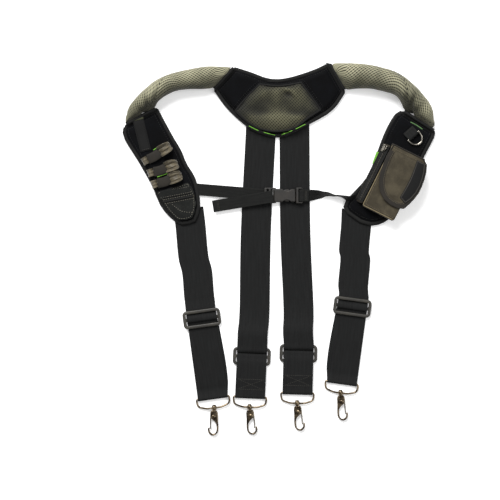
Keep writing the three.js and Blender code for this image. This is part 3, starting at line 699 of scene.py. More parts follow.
def plastic_material(name, dark, light, rough=0.42):
    """Moulded acetal: a fine spark-eroded grain, paler where it has been handled."""
    board = Board(name)
    grain = board.noise(1900, 2.0)
    handled = board.noise(55, 3.0, 0.6).ramp(0.4, 0.75)
    base = board.mix((handled * 0.7 + grain * 0.2).least(1.0), colour(dark), colour(light))
    normal = board.bump(grain, 0.06 * MM, 0.6)
    return board.finish(base, rough + grain * 0.12 - handled * 0.06, normal, Specular_IOR_Level=0.5)


def rubber_material(name, dark, light):
    """Moulded soft rubber patch with a fine pebble."""
    board = Board(name)
    pebble = board.noise(1300, 2.0)
    smear = board.noise(70, 4.0, 0.6).ramp(0.4, 0.8)
    base = board.mix((smear * 0.6 + pebble * 0.25).least(1.0), colour(dark), colour(light))
    normal = board.bump(pebble, 0.1 * MM, 0.7)
    return board.finish(base, 0.66 + smear * 0.15, normal, Specular_IOR_Level=0.2)


def thread_material(name, dark, light):
    """Twisted sewing thread."""
    board = Board(name)
    twist = board.noise(2600, 1.0)
    base = board.mix(twist.ramp(0.35, 0.65), colour(dark), colour(light))
    normal = board.bump(twist, 0.1 * MM, 0.6)
    return board.finish(base, 0.62 + twist * 0.15, normal, Sheen_Weight=0.04, Specular_IOR_Level=0.2)


BLACK_WEBBING = webbing_material("black_webbing", "010101", "151616", half_wide=25 * MM)
NARROW_WEBBING = webbing_material("narrow_webbing", "020202", "171816", rib=1.1 * MM, half_wide=10 * MM)
BINDING = webbing_material("binding_tape", "060606", "1c1c1a", rib=0.8 * MM)
POUCH_TRIM = webbing_material("pouch_trim", "191714", "302c26", rib=0.9 * MM)
BLACK_CLOTH = plain_cloth_material("black_cloth", "010102", "090b0f", sheen=0.01)
POCKET_CLOTH = plain_cloth_material("pocket_cloth", "131413", "2d2e2b", pitch=1.0 * MM, sheen=0.05)
KHAKI_CLOTH = plain_cloth_material("khaki_cloth", "332e24", "575040", pitch=0.9 * MM, sheen=0.08, rough=0.62)
ROLL_MESH = air_mesh_material("khaki_air_mesh", "0d0d08", "403f2e", "a3a084", 4.0 * MM, 0.36, True)
YOKE_MESH = air_mesh_material("olive_air_mesh", "040402", "1c1c13", "5c5a43", 3.4 * MM, 0.45, False)
ELASTIC = elastic_material()
AGED_NICKEL = metal_material("aged_nickel", "2a241d", "93836c", 0.17, 0.4)
BRIGHT_NICKEL = metal_material("bright_nickel", "5e5a53", "bdb8ad", 0.12, 0.6)
DARK_PLASTIC = plastic_material("dark_plastic", "211f1b", "3d3a32")
BROWN_PLASTIC = plastic_material("brown_plastic", "100e0b", "28231e")
GUSSET_CLOTH = plain_cloth_material("gusset_cloth", "1d1915", "3b352b", pitch=0.9 * MM, sheen=0.05)
RUBBER = rubber_material("dark_rubber", "040404", "101010")
RIM_RUBBER = rubber_material("rim_rubber", "2a2825", "474440")
LIME = thread_material("lime_cord", "3f7a1c", "85c54a")
GREY_THREAD = thread_material("grey_thread", "2b2a27", "45433d")
DARK_THREAD = thread_material("dark_thread", "0b0b0b", "1d1d1c")
PALE_THREAD = thread_material("pale_thread", "4c4a44", "7c786c")
TAN_THREAD = thread_material("tan_thread", "5c5444", "85795f")


# ---------------------------------------------------------------- padded pieces

def cushion(name, node, voxel, cap, shaping, top_share=0.72):
    """A foam pad: its CAD outline swelled as cloth, then drawn down at the edge and along its seams.

    shaping(edge, rows) gives each point's share of the full height.
    """
    low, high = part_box(node)
    loop = outline_of(node, top_share)
    piece = plate(name, moved_in(loop, 1.0 * MM), low.z + 0.3 * MM, high.z - 1.0 * MM)
    remesh(piece, voxel)
    relax(piece, 3)
    swell(piece, cap)
    finer(piece, 1)
    rows = vertices(piece)
    inside = inside_distance(rows, loop)
    share = shaping(inside, rows)
    full = high.z - low.z
    height = np.clip((rows[:, 2] - low.z) / full, 0, 1.05)
    rows[:, 2] = low.z + height * share * full
    place_vertices(piece, rows)
    relax(piece, 2, 0.4)
    rows = vertices(piece)
    rows[:, 2] = np.maximum(rows[:, 2], low.z)
    place_vertices(piece, rows)
    return piece, loop


def cloth_noise(rows, size, seed):
    """Smooth random numbers from -1 to 1 at the rows' places."""
    offset = Vector((seed, seed * 1.7, seed * 0.3))
    return np.array([noise.noise(Vector(row) / size + offset) for row in rows])


def fold_line(rows, a, b, half):
    """1 on the line from a to b in the plan, falling to 0 at half a width away."""
    a, b = np.array(a[:2]), np.array(b[:2])
    run = b - a
    t = np.clip((rows[:, :2] - a) @ run / (run @ run), 0, 1)
    gap = np.linalg.norm(rows[:, :2] - a - t[:, None] * run, axis=1)
    return np.exp(-(gap / half) ** 2) * np.sin(np.pi * np.clip(t, 0.08, 0.92))


def surface_height(piece):
    """A function that gives the highest point of a piece above a plan place."""
    from mathutils.bvhtree import BVHTree
    shape = bmesh.new()
    shape.from_mesh(piece.data)
    tree = BVHTree.FromBMesh(shape)
    shape.free()

    def height(place):
        hit = tree.ray_cast(Vector((place.x, place.y, 1.0)), -UP)[0]
        return hit.z if hit is not None else place.z

    return height


def laid_on(height, run, lift=0.15 * MM):
    return [Vector((p.x, p.y, height(p) + lift)) for p in run]


def part_of(loop, start, end):
    """The stretch of a closed loop between two shares of its length."""
    path = even_steps(loop, 1.5 * MM, closed=True)
    count = len(path)
    first, last = int(start * count), int(end * count)
    return [path[i % count] for i in range(first, last + 1)]


def bind_edge(name, loop, low, high, half_wide=3.2 * MM, material=None, body="harness"):
    """Folded tape sewn round a pad's edge, with its row of stitches."""
    level = (low + high) / 2
    run = even_steps(moved_in(loop, half_wide * 0.95), 2.5 * MM, closed=True)
    piece = tape(name, level_at(run, level), half_wide, (high - low) / 2, closed=True, power=3.0)
    return finished(piece, material or BINDING, body)


# ---------------------------------------------------------------- yoke

def make_yoke():
    node = "yoke_cushion"
    low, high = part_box(node)
    panel_loop = outline_of("yoke_mesh_panel", 0.3)

    def shaping(edge, rows):
        rise = 0.5 + 0.5 * ease(edge, 1 * MM, 13 * MM)
        panel_edge = inside_distance(rows, panel_loop)
        seam = 0.16 * hump(panel_edge, 2.5 * MM, 1.8 * MM)
        quilting = 0.1 * hump(edge, 9 * MM, 1.6 * MM)
        sag = 0.04 * cloth_noise(rows, 28 * MM, 3.0)
        return rise - seam - quilting + sag

    piece, loop = cushion("yoke_pad", node, 4 * MM, 4 * MM, shaping)
    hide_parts(node)
    finished(piece, BLACK_CLOTH, "harness")
    height = surface_height(piece)
    bind_edge("yoke_binding", loop, low.z + 0.6 * MM, low.z + 0.62 * (high.z - low.z))
    rows = [laid_on(height, even_steps(moved_in(loop, d), 2 * MM, closed=True)) for d in (8.4 * MM,)]
    seams = [laid_on(height, even_steps(moved_in(panel_loop, -3.2 * MM), 2 * MM, closed=True))]
    seams.append(laid_on(height, even_steps(moved_in(panel_loop, -6.0 * MM), 2 * MM, closed=True)))
    stitches("yoke_stitching", rows + seams, DARK_THREAD, "harness")
    make_yoke_panel(panel_loop)
    make_yoke_piping(height, low.z + 0.62 * (high.z - low.z))


def make_yoke_panel(loop):
    node = "yoke_mesh_panel"
    low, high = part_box(node)
    centre = middle(node)
    full = high.z - low.z
    piece = plate("yoke_panel", loop, low.z, high.z)
    remesh(piece, 2.2 * MM)
    relax(piece, 3)
    swell(piece, 2.0 * MM)
    finer(piece, 1)
    rows = vertices(piece)
    edge = inside_distance(rows, loop)
    down = (high.y - rows[:, 1]) / (high.y - low.y)
    dish = 0.95 - 0.5 * ease(down, 0.05, 0.5) + 0.62 * ease(down, 0.5, 0.78)
    crown = (0.25 + 0.75 * ease(edge, 0, 12 * MM)) * dish
    at = lambda x, y: (centre.x + x * MM, centre.y + y * MM)
    crease = 0.55 * fold_line(rows, at(6, 32), at(24, 25), 3.2 * MM)
    crease += 0.6 * fold_line(rows, at(22, 27), at(31, 15), 3.0 * MM)
    crease += 0.3 * fold_line(rows, at(-40, 8), at(-14, 30), 5 * MM)
    crease += 0.3 * fold_line(rows, at(-4, 36), at(-2, -4), 6 * MM)
    dent = -0.6 * fold_line(rows, at(6, 24), at(26, 17), 4.5 * MM)
    dent -= 0.45 * fold_line(rows, at(-46, -4), at(-12, -12), 6 * MM)
    dent -= 0.4 * fold_line(rows, at(8, -6), at(52, -12), 6 * MM)
    swellings = 0.35 * fold_line(rows, at(-38, -20), at(36, -18), 8 * MM)
    ripple = 0.14 * cloth_noise(rows, 16 * MM, 8.0)
    share = np.clip(crown + crease + dent + swellings + ripple, 0.12, 1.4)
    height = np.clip((rows[:, 2] - low.z) / full, 0, 1)
    rows[:, 2] = low.z + height * share * full
    place_vertices(piece, rows)
    # Painted shade for the mesh's colour: darker where the panel is drawn low and on its upper part, less on its lower
    # part.
    carry(piece, "painted_shade", np.clip(1.25 - 1.1 * share - 0.5 * ease(down, 0.6, 0.8), 0, 1))
    relax(piece, 2, 0.4)
    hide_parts(node)
    finished(piece, YOKE_MESH, "harness")
    edging = tape(
        "panel_edging", level_at(even_steps(moved_in(loop, 0.2 * MM), 2.5 * MM, closed=True), low.z + 0.8 * MM),
        1.5 * MM, 1.1 * MM, closed=True,
    )
    finished(edging, BINDING, "harness")


def make_yoke_piping(height, binding_top):
    """A black cord along the lower edge, wrapped in four bright stretches."""
    low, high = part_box("yoke_piping")
    rows = vertices(frame["nodes"]["yoke_piping"])
    order = np.argsort(rows[:, 0])
    ends = np.linspace(rows[:, 0].min(), rows[:, 0].max(), 15)
    path = []
    for x in ends:
        near = rows[np.abs(rows[:, 0] - x) < 6 * MM]
        path.append(Vector((x, near[:, 1].mean(), (low.z + high.z) / 2)))
    assert len(order) > 0
    run = [Vector((p.x, p.y, max(height(p), binding_top) + 0.5 * MM))
           for p in even_steps(smooth_path(path, 4), 1.5 * MM)]
    cord = tape("piping_cord", run, 1.0 * MM, 0.9 * MM)
    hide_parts("yoke_piping")
    finished(cord, BINDING, "harness")
    count = len(run) - 1
    for number, (a, b) in enumerate(((0.03, 0.2), (0.28, 0.47), (0.56, 0.74), (0.8, 0.97))):
        part = run[round(a * count):round(b * count) + 1]
        raised = [p + UP * 0.35 * MM for p in part]
        finished(tape(f"bright_piping_{number + 1}", raised, 0.65 * MM, 0.9 * MM), LIME, "harness")


# ---------------------------------------------------------------- shoulder rolls

def tube_middle(rows, hub, hand):
    """The middle line of a bent tube in the plan, from the front pad to the yoke, run on past its ends."""
    turn = np.arctan2(rows[:, 1] - hub.y, (rows[:, 0] - hub.x) * hand)
    out = np.hypot(rows[:, 0] - hub.x, rows[:, 1] - hub.y)
    count = 44
    edges = np.linspace(turn.min(), turn.max(), count + 1)
    line = []
    for a, b in zip(edges[8:-9], edges[9:-8]):
        slice_out = out[(turn >= a) & (turn < b)]
        reach = (slice_out.min() + slice_out.max()) / 2
        way = (a + b) / 2
        line.append(np.array([hub.x + hand * reach * math.cos(way), hub.y + reach * math.sin(way)]))
    line = [sum(line[max(i - 2, 0):i + 3]) / len(line[max(i - 2, 0):i + 3]) for i in range(len(line))]
    ends = [line[0] + (line[0] - line[4]) * 2.5, line[-1] + (line[-1] - line[-5]) * 2.5]
    return np.array([ends[0], *line, ends[1]])


def along_line(rows, line):
    """For each point: how far along the line it is, how far to the line's left, and the way left."""
    best = np.full(len(rows), 1e9)
    along, aside = np.zeros(len(rows)), np.zeros(len(rows))
    left_way = np.zeros((len(rows), 2))
    travelled = 0.0
    for a, b in zip(line, line[1:]):
        run = b - a
        long = np.linalg.norm(run)
        t = np.clip((rows[:, :2] - a) @ run / long ** 2, 0, 1)
        left = np.array([-run[1], run[0]]) / long
        away = rows[:, :2] - a - t[:, None] * run
        gap = np.linalg.norm(away, axis=1)
        nearer = gap < best
        best[nearer] = gap[nearer]
        along[nearer] = (travelled + t * long)[nearer]
        aside[nearer] = (away @ left)[nearer]
        left_way[nearer] = left
        travelled += long
    return along, aside, left_way


def turn_round(along, outward, heights):
    """How far round the tube each point is: 0 on top, a quarter turn on the outer side of the bend."""
    marks = np.linspace(np.percentile(along, 10), np.percentile(along, 90), 15)
    reach = (marks[1] - marks[0]) * 0.6
    middles, halves = [], []
    for mark in marks:
        near = np.abs(along - mark) < reach
        ends = [(part[near].min(), part[near].max()) for part in (outward, heights)]
        middles.append([(a + b) / 2 for a, b in ends])
        halves.append([(b - a) / 2 for a, b in ends])
    shares = []
    for part, centre, half in zip((outward, heights), np.transpose(middles), np.transpose(halves)):
        shares.append((part - np.interp(along, marks, centre)) / np.interp(along, marks, half))
    return np.arctan2(shares[0], shares[1])


def make_roll(side):
    """A foam tube in air mesh that bends from the yoke round to the front pad, creased inside the bend."""
    node = f"{side}_shoulder_roll"
    hand = -1 if side == "left" else 1
    low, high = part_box(node)
    hub = Vector((hand * 0.150, low.y - 0.016, 0))
    piece = remesh(copy_of(f"{side}_roll", node), 3.6 * MM)
    relax(piece, 8)
    swell(piece, 3.0 * MM)
    finer(piece, 1)
    rows = vertices(piece)
    line = tube_middle(rows, hub, hand)
    along, aside, left_way = along_line(rows, line)
    turn = turn_round(along, -hand * aside, rows[:, 2])
    rise = rows[:, 2] - (high.z - low.z) * 0.48
    normal = np.stack([left_way[:, 0] * aside, left_way[:, 1] * aside, rise], axis=1)
    normal /= np.maximum(np.linalg.norm(normal, axis=1, keepdims=True), 1e-6)
    middle_way = np.arctan2(line[:, 1] - hub.y, (line[:, 0] - hub.x) * hand)
    line_marks = np.concatenate([[0], np.cumsum(np.linalg.norm(np.diff(line, axis=0), axis=1))])
    bend = float(np.interp(math.radians(38 if side == "left" else 44), middle_way, line_marks))
    main = 2.0 if side == "left" else 3.8
    inner = ease(-turn, -1.4, 1.2)
    depth = np.zeros(len(rows))
    for fan, deep, thin in ((0, main, 4.5), (20, 1.5, 5.0), (-17, 1.3, 4.5), (42, 0.8, 6.0)):
        wander = bend + (fan * (1 + 0.5 * turn) + 9 * turn) * MM
        depth += deep * MM * inner * hump(along, wander, thin * MM)
    share = (along - line_marks[1]) / (line_marks[-2] - line_marks[1])
    seam = -0.9 + 2.4 * ease(share, 0.05, 0.7)
    depth += 1.1 * MM * hump(turn, seam, 0.14)
    depth += 0.6 * MM * cloth_noise(rows, 22 * MM, 5.0 + hand)
    rows -= normal * depth[:, None]
    rows[:, 2] = np.clip(rows[:, 2], low.z, high.z + 0.5 * MM)
    place_vertices(piece, rows)
    relax(piece, 2, 0.4)
    carry(piece, "weave_along", along)
    carry(piece, "weave_round", -np.abs(turn - seam) * 0.021)
    # Painted shade for the mesh's colour: darker on the inner side of the bend and in its creases.
    carry(piece, "painted_shade", np.clip(1.0 * ease(-turn, -0.5, 1.3) + depth / (3 * MM), 0, 1))
    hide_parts(node)
    finished(piece, ROLL_MESH, "harness")
    return piece


def carry(piece, name, values):
    """Keeps a number on each point of the piece, for its material."""
    kept = piece.data.attributes.new(name, "FLOAT", "POINT")
    kept.data.foreach_set("value", values.astype(np.float32))


def make_roll_seams(rolls):
    """Tape where each roll is sewn to the yoke and to its pad."""
    for side, roll in zip(("left", "right"), rolls):
        pad_loop = outline_of(f"{side}_front_pad", 0.7)
        yoke_loop = outline_of("yoke_cushion", 0.7)
        roll_loop = outline_of(f"{side}_shoulder_roll", 0.15)
        for place, loop in (("pad", pad_loop), ("yoke", yoke_loop)):
            rows = np.array([tuple(p) for p in even_steps(loop, 2 * MM, closed=True)])
            gap = inside_distance(rows, roll_loop)
            seam = [Vector(row) for row, near in zip(rows, gap) if near < 2.2 * MM]
            if len(seam) < 4:
                continue
            a, b = farthest_pair(seam)
            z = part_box(f"{side}_front_pad")[1].z
            line = [Vector((*a.lerp(b, t)[:2], z - 0.6 * MM + 1.4 * MM * math.sin(math.pi * t)))
                    for t in np.linspace(0.03, 0.97, 14)]
            piece = tape(f"{side}_{place}_seam", line, 2.8 * MM, 3.0 * MM, power=2.6)
            finished(piece, BINDING, "harness")


def farthest_pair(points):
    first = max(points, key=lambda p: (p - points[0]).length)
    second = max(points, key=lambda p: (p - first).length)
    return (first, second) if first.x < second.x else (second, first)


# ---------------------------------------------------------------- front pads

def make_front_pad(side):
    node = f"{side}_front_pad"
    low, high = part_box(node)

    def shaping(edge, rows):
        rise = 0.52 + 0.46 * ease(edge, 1 * MM, 12 * MM)
        quilting = 0.1 * hump(edge, 10.5 * MM, 1.6 * MM)
        sag = 0.03 * cloth_noise(rows, 25 * MM, 11.0)
        return rise - quilting + sag

    piece, loop = cushion(f"{side}_pad", node, 4 * MM, 3 * MM, shaping)
    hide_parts(node)
    finished(piece, BLACK_CLOTH, "harness")
    height = surface_height(piece)
    bind_edge(f"{side}_pad_binding", loop, low.z + 0.5 * MM, low.z + 0.66 * (high.z - low.z), 3.4 * MM)
    seam = laid_on(height, even_steps(moved_in(loop, 9.8 * MM), 2 * MM, closed=True))
    edge = laid_on(height, even_steps(moved_in(loop, 5.2 * MM), 2 * MM, closed=True), 0.9 * MM)
    stitches(f"{side}_pad_stitching", [seam], DARK_THREAD, "harness")
    stitches(f"{side}_pad_edge_stitching", [edge], DARK_THREAD, "harness", thick=0.6 * MM)
    return loop, height


def make_label_tab(height):
    lie = Lie("label_tab", Vector((0, -1, 0)))
    path = [
        lie.at(u, 0, z)
        for u, z in (
            (-lie.long / 2, lie.low + 0.9 * MM), (-lie.long / 2 + 8 * MM, lie.low + 1.3 * MM),
            (0, lie.low + 1.0 * MM), (lie.long / 2 - 6 * MM, lie.low + 0.9 * MM),
            (lie.long / 2, lie.low + 0.8 * MM),
        )
    ]
    across = lambda t: lie.across
    patch = ribbon("label_patch", smooth_path(path), lie.wide, 1.4 * MM, across, columns=8)
    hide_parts("label_tab")
    path_length(smooth_path(path))
    finished(patch, RUBBER, "harness")
    rim = [lie.at(s * (lie.long / 2 - 2 * MM), t * (lie.wide / 2 - 2 * MM), lie.low + 1.8 * MM)
           for s, t in ((-1, -1), (1, -1), (1, 1), (-1, 1))]
    frame_line = tape("label_rim", even_steps(rim, 2 * MM, closed=True), 0.5 * MM, 0.35 * MM, closed=True, sides=8)
    finished(frame_line, RUBBER, "harness")
    fold = [lie.at(-lie.long / 2 + 1.5 * MM, v * lie.wide / 2, lie.low + 1.9 * MM) for v in (-1.02, 0, 1.02)]
    finished(tape("label_fold", even_steps(fold, 2 * MM), 1.8 * MM, 0.9 * MM), ELASTIC_TRIM, "harness")
    tack = [[lie.at(lie.long / 2 - 3 * MM, v * lie.wide / 2, lie.low + 1.9 * MM) for v in (-0.75, 0.75)]]
    stitches("label_stitching", tack, GREY_THREAD, "harness")


def make_tool_loop(number):
    """Elastic band, sewn down under a keeper, that stands up as a small loop on its left and a gathered
    puff on its right."""
    node = f"tool_loop_{number}"
    lie = Lie(node, Vector((1, 0, 0)))
    keeper = Lie(f"loop_keeper_{number}", Vector((1, 0, 0)))
    start = -lie.long / 2
    end = lie.long / 2
    base = lie.low + 0.8 * MM
    puff = end - 21 * MM
    rise = lie.high - lie.low - 1.6 * MM
    small = [(start, base), (start + 0.8 * MM, base + 3.4 * MM), (start + 3.2 * MM, base + 5.2 * MM),
             (start + 6.4 * MM, base + 4.2 * MM), (start + 9.0 * MM, base + 1.4 * MM), (start + 10.6 * MM, base)]
    large = [(puff - 1 * MM, base), (puff + 0.8 * MM, base + 3.6 * MM), (puff + 4 * MM, base + rise * 0.8),
             (puff + 9.6 * MM, base + rise), (puff + 15.6 * MM, base + rise * 0.86),
             (puff + 19.6 * MM, base + 3.4 * MM), (end, base)]
    path = smooth_path([lie.at(u, 0, z) for u, z in small + large], 6)
    puff_from = 1 - path_length(path[len(small) * 6:]) / path_length(path)

    def into_puff(t):
        return min(max((t - puff_from) / (1 - puff_from), 0), 1)

    def spread(t):
        swelling = math.sin(math.pi * min(0.08 + into_puff(t), 1)) ** 0.55 if t > puff_from else 0
        return 0.62 + (0.2 if t < 0.2 else 0) + 0.62 * swelling

    def pleats(u, t):
        share = into_puff(t)
        gather = math.cos(u * 15 + number * 1.3 + share * 2.5) + 0.5 * math.sin(u * 27 + number * 2.1 - share * 4)
        fade = math.sin(math.pi * min(max(share, 0.03), 0.97))
        turned_down = -4.5 * MM * (2 * abs(u)) ** 3 * fade
        return turned_down + gather * (0.25 + 1.15 * fade * (1 - 0.45 * share)) * MM

    band = ribbon(f"elastic_loop_{number}", path, lie.wide, 1.2 * MM, lambda t: lie.across,
                  pleats, spread, 24, 0.9 * MM)
    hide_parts(node)
    path_length(path)
    finished(finer(band), ELASTIC, "harness")
    bar = [keeper.at(s * (keeper.long / 2 + 3.0 * MM), 0, 0) for s in (-1, 1)]
    rows = even_steps([Vector((p.x, p.y, keeper.low + 1.2 * MM)) for p in bar], 1.5 * MM)
    count = len(rows) - 1
    sag = -lie.across * 1.6 * MM
    rows = [p + (UP * 2.2 * MM + sag) * math.sin(math.pi * i / count) for i, p in enumerate(rows)]
    cover = tape(f"keeper_{number}", rows, keeper.wide * 0.56, 1.9 * MM, power=2.3, sides=24)
    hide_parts(f"loop_keeper_{number}")
    finished(rounded(cover, 0.5 * MM), POUCH_TRIM, "harness")
    tacks = [[keeper.at(s * (keeper.long / 2 - 0.6 * MM), v * keeper.wide * 0.36, keeper.low + 3.8 * MM) for v in (-1, 1)]
             for s in (-1, 1)]
    stitches(f"keeper_tacks_{number}", tacks, DARK_THREAD, "harness", 1.6 * MM, 0.5 * MM)
    return keeper


def make_loop_piping(keepers):
    """A bright line between the lower two keepers."""
    upper, lower = keepers[1], keepers[2]
    ends = []
    for s in (-1, 1):
        place = (upper.at(s * upper.long / 2, 0, 0) + lower.at(s * lower.long / 2, 0, 0)) / 2
        ends.append(Vector((place.x, place.y, lower.low + 1.6 * MM)))
    piece = tape("loop_piping", even_steps(ends, 2 * MM), 0.9 * MM, 0.9 * MM)
    finished(piece, LIME, "harness")
    upper = keepers[0]
    ends = [upper.at(s * upper.long / 2, upper.wide / 2 + 1.2 * MM, upper.low + 1.2 * MM) for s in (0.2, 1.25)]
    finished(tape("loop_piping_end", even_steps(ends, 2 * MM), 0.7 * MM, 0.7 * MM), LIME, "harness")


def make_left_pocket():
    """Flat pocket at the foot of the left pad, with a hem at its mouth and a stitched reinforcement."""
    node = "left_pocket"
    low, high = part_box(node)
    loop = outline_of(node, 0.5)
    piece = plate("pocket", loop, low.z, high.z - 0.4 * MM)
    remesh(piece, 1.8 * MM)
    relax(piece, 3)
    rows = vertices(piece)
    edge = inside_distance(rows, loop)
    full = high.z - low.z
    share = 0.55 + 0.35 * ease(edge, 0, 9 * MM) + 0.2 * cloth_noise(rows, 20 * MM, 2.0)
    rows[:, 2] = low.z + np.clip((rows[:, 2] - low.z) / full, 0, 1) * share * full
    place_vertices(piece, rows)
    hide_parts(node)
    finished(finer(piece), POCKET_CLOTH, "harness")
    height = surface_height(piece)
    lie = Lie("loop_keeper_3", Vector((1, 0, 0)))
    top = max(p.dot(lie.across) for p in loop)
    mouth = [p for p in loop if p.dot(lie.across) > top - 9 * MM]
    a, b = farthest_pair(mouth)
    down = -lie.across

    def line(drop, first=0.04, last=0.96):
        return laid_on(height, even_steps([a.lerp(b, first) + down * drop, a.lerp(b, last) + down * drop], 2 * MM), 0.5 * MM)

    hem = tape("pocket_hem", line(7 * MM), 6.5 * MM, 0.9 * MM, power=4)
    finished(hem, POCKET_CLOTH, "harness")
    welt = tape("pocket_welt", line(19 * MM, 0.08, 0.98), 1.7 * MM, 1.2 * MM)
    finished(welt, BINDING, "harness")
    seam = laid_on(height, even_steps(moved_in(loop, 3.5 * MM), 2 * MM, closed=True), 0.3 * MM)
    rows = [seam, line(15.6 * MM, 0.1, 0.95), line(22.6 * MM, 0.1, 0.95)]
    upper = [[Vector((q.x, q.y, q.z + 0.75 * MM)) for q in line(drop)] for drop in (2 * MM, 11.6 * MM)]
    curve = laid_on(height, smooth_path([a.lerp(b, 0.3) + down * 25 * MM, a.lerp(b, 0.5) + down * 40 * MM,
                                         a.lerp(b, 0.8) + down * 46 * MM]), 0.4 * MM)
    stitches("pocket_stitching", rows + upper + [curve], PALE_THREAD, "harness", thick=0.8 * MM)
    make_rivet("pocket_rivet", a.lerp(b, 0.97) + down * 19 * MM, height)


def make_rivet(name, place, height):
    """A small domed rivet."""
    shape = bmesh.new()
    bmesh.ops.create_uvsphere(shape, u_segments=20, v_segments=10, radius=1.5 * MM)
    bmesh.ops.scale(shape, verts=shape.verts, vec=(1, 1, 0.4))
    bmesh.ops.translate(shape, verts=shape.verts, vec=(place.x, place.y, height(place) + 0.6 * MM))
    return finished(piece_from(name, shape), AGED_NICKEL, "harness")


ELASTIC_TRIM = webbing_material("moss_tape", "2a2c20", "4c4d38", rib=0.9 * MM)


# ---------------------------------------------------------------- pouch

class PouchFrame:
    """The pouch's own directions: x across it, y towards its mouth, z up from the pad."""

    def __init__(self):
        self.x = -axis("flap_hinge")
        self.y = -axis("zip_run")
        low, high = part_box("pouch_body")
        self.origin = Vector(((low.x + high.x) / 2, (low.y + high.y) / 2, low.z))
        self.deep = high.z - low.z
        rows = vertices(frame["nodes"]["pouch_body"]) - np.array(self.origin)
        self.half_wide = (rows @ np.array(self.x)).max()
        self.half_long = (rows @ np.array(self.y)).max()

    def at(self, x, y, z):
        return self.origin + self.x * x + self.y * y + UP * z

    def local(self, rows):
        away = rows - np.array(self.origin)
        return away @ np.array(self.x), away @ np.array(self.y), away[:, 2]


def make_pouch_body(pouch):
    """A sewn box of cloth, open at its upper end, with slack walls."""
    half_wide, half_long, deep = pouch.half_wide, pouch.half_long, pouch.deep
    shape = bmesh.new()
    bmesh.ops.create_cube(shape, size=1)
    turn = Matrix((pouch.x, pouch.y, UP)).transposed().to_4x4()
    scale = Matrix.Diagonal((2 * half_wide - 1.4 * MM, 2 * half_long - 1.4 * MM, deep - 1 * MM, 1))
    mouth = [face for face in shape.faces if face.normal.y > 0.5]
    bmesh.ops.delete(shape, geom=mouth, context="FACES_ONLY")
    corners = [edge for edge in shape.edges if not edge.is_boundary]
    bmesh.ops.bevel(
        shape, geom=corners, offset=0.05, segments=3, profile=0.5, affect="EDGES", material=-1
    )
    bmesh.ops.transform(shape, verts=shape.verts, matrix=pouch_matrix(pouch, turn, scale, deep))
    piece = piece_from("pouch_shell", shape)
    finer_shell(piece)
    rows = vertices(piece)
    x, y, z = pouch.local(rows)
    slack = 1 - (x / half_wide) ** 2
    dip = -1.1 * MM * slack * ease(y, -half_long, -half_long + 20 * MM) * (z > deep / 2)
    ripple = 0.35 * MM * cloth_noise(rows, 17 * MM, 21.0)
    sides = -1.0 * MM * np.sin(np.pi * np.clip(z / deep, 0, 1)) * np.sign(x) * (np.abs(x) > half_wide * 0.92)
    rows += np.outer(sides + ripple * 0.5, np.array(pouch.x))
    rows[:, 2] += np.where(z > 2 * MM, dip + ripple, 0)
    place_vertices(piece, rows)
    wall = piece.modifiers.new("wall", "SOLIDIFY")
    wall.thickness = 1.4 * MM
    wall.offset = -1
    settle(piece)
    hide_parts("pouch_body")
    finished(piece, KHAKI_CLOTH, "harness")
    height = surface_height(piece)
    top = deep
    foot = -half_long + 2.0 * MM
    left = -half_wide + 1.4 * MM
    corner = [pouch.at(left, half_long - 3 * MM, top), pouch.at(left, foot + 2 * MM, top),
              pouch.at(left + 2 * MM, foot, top), pouch.at(half_wide - 4 * MM, foot, top)]
    run = laid_on(height, even_steps(corner, 1.5 * MM), 0.2 * MM)
    finished(tape("pouch_piping", run, 0.65 * MM, 0.7 * MM), TAN_TAPE, "harness")
    inner = [pouch.at(left + 3.2 * MM, half_long - 4 * MM, top), pouch.at(left + 3.2 * MM, foot + 3.4 * MM, top),
             pouch.at(half_wide - 4 * MM, foot + 3.4 * MM, top)]
    stitches("pouch_stitching", [laid_on(height, even_steps(inner, 1.5 * MM), 0.1 * MM)], TAN_THREAD,
             "harness", 2.2 * MM, 1.1 * MM, 0.5 * MM)
    make_mouth_binding(pouch)


def pouch_matrix(pouch, turn, scale, deep):
    return Matrix.Translation(pouch.origin + UP * deep / 2) @ turn @ scale


def finer_shell(piece):
    """Cuts the shell into cells of a few millimetres."""
    shape = bmesh.new()
    shape.from_mesh(piece.data)
    for _ in range(5):
        long_edges = [edge for edge in shape.edges if edge.calc_length() > 4.5 * MM]
        if not long_edges:
            break
        bmesh.ops.subdivide_edges(shape, edges=long_edges, cuts=1, use_grid_fill=True)
    bmesh.ops.recalc_face_normals(shape, faces=shape.faces)
    shape.to_mesh(piece.data)
    shape.free()


def make_mouth_binding(pouch):
    """Tape round the pouch's mouth."""
    w, d = pouch.half_wide - 0.9 * MM, pouch.deep - 1.4 * MM
    y = pouch.half_long - 0.9 * MM
    ring = [(-w, 1.2 * MM), (w, 1.2 * MM), (w, d), (-w, d)]
    path = even_steps([pouch.at(x, y, z) for x, z in ring], 3 * MM, closed=True)
    finished(tape("mouth_binding", path, 1.3 * MM, 1.3 * MM, closed=True), POUCH_TRIM, "harness")


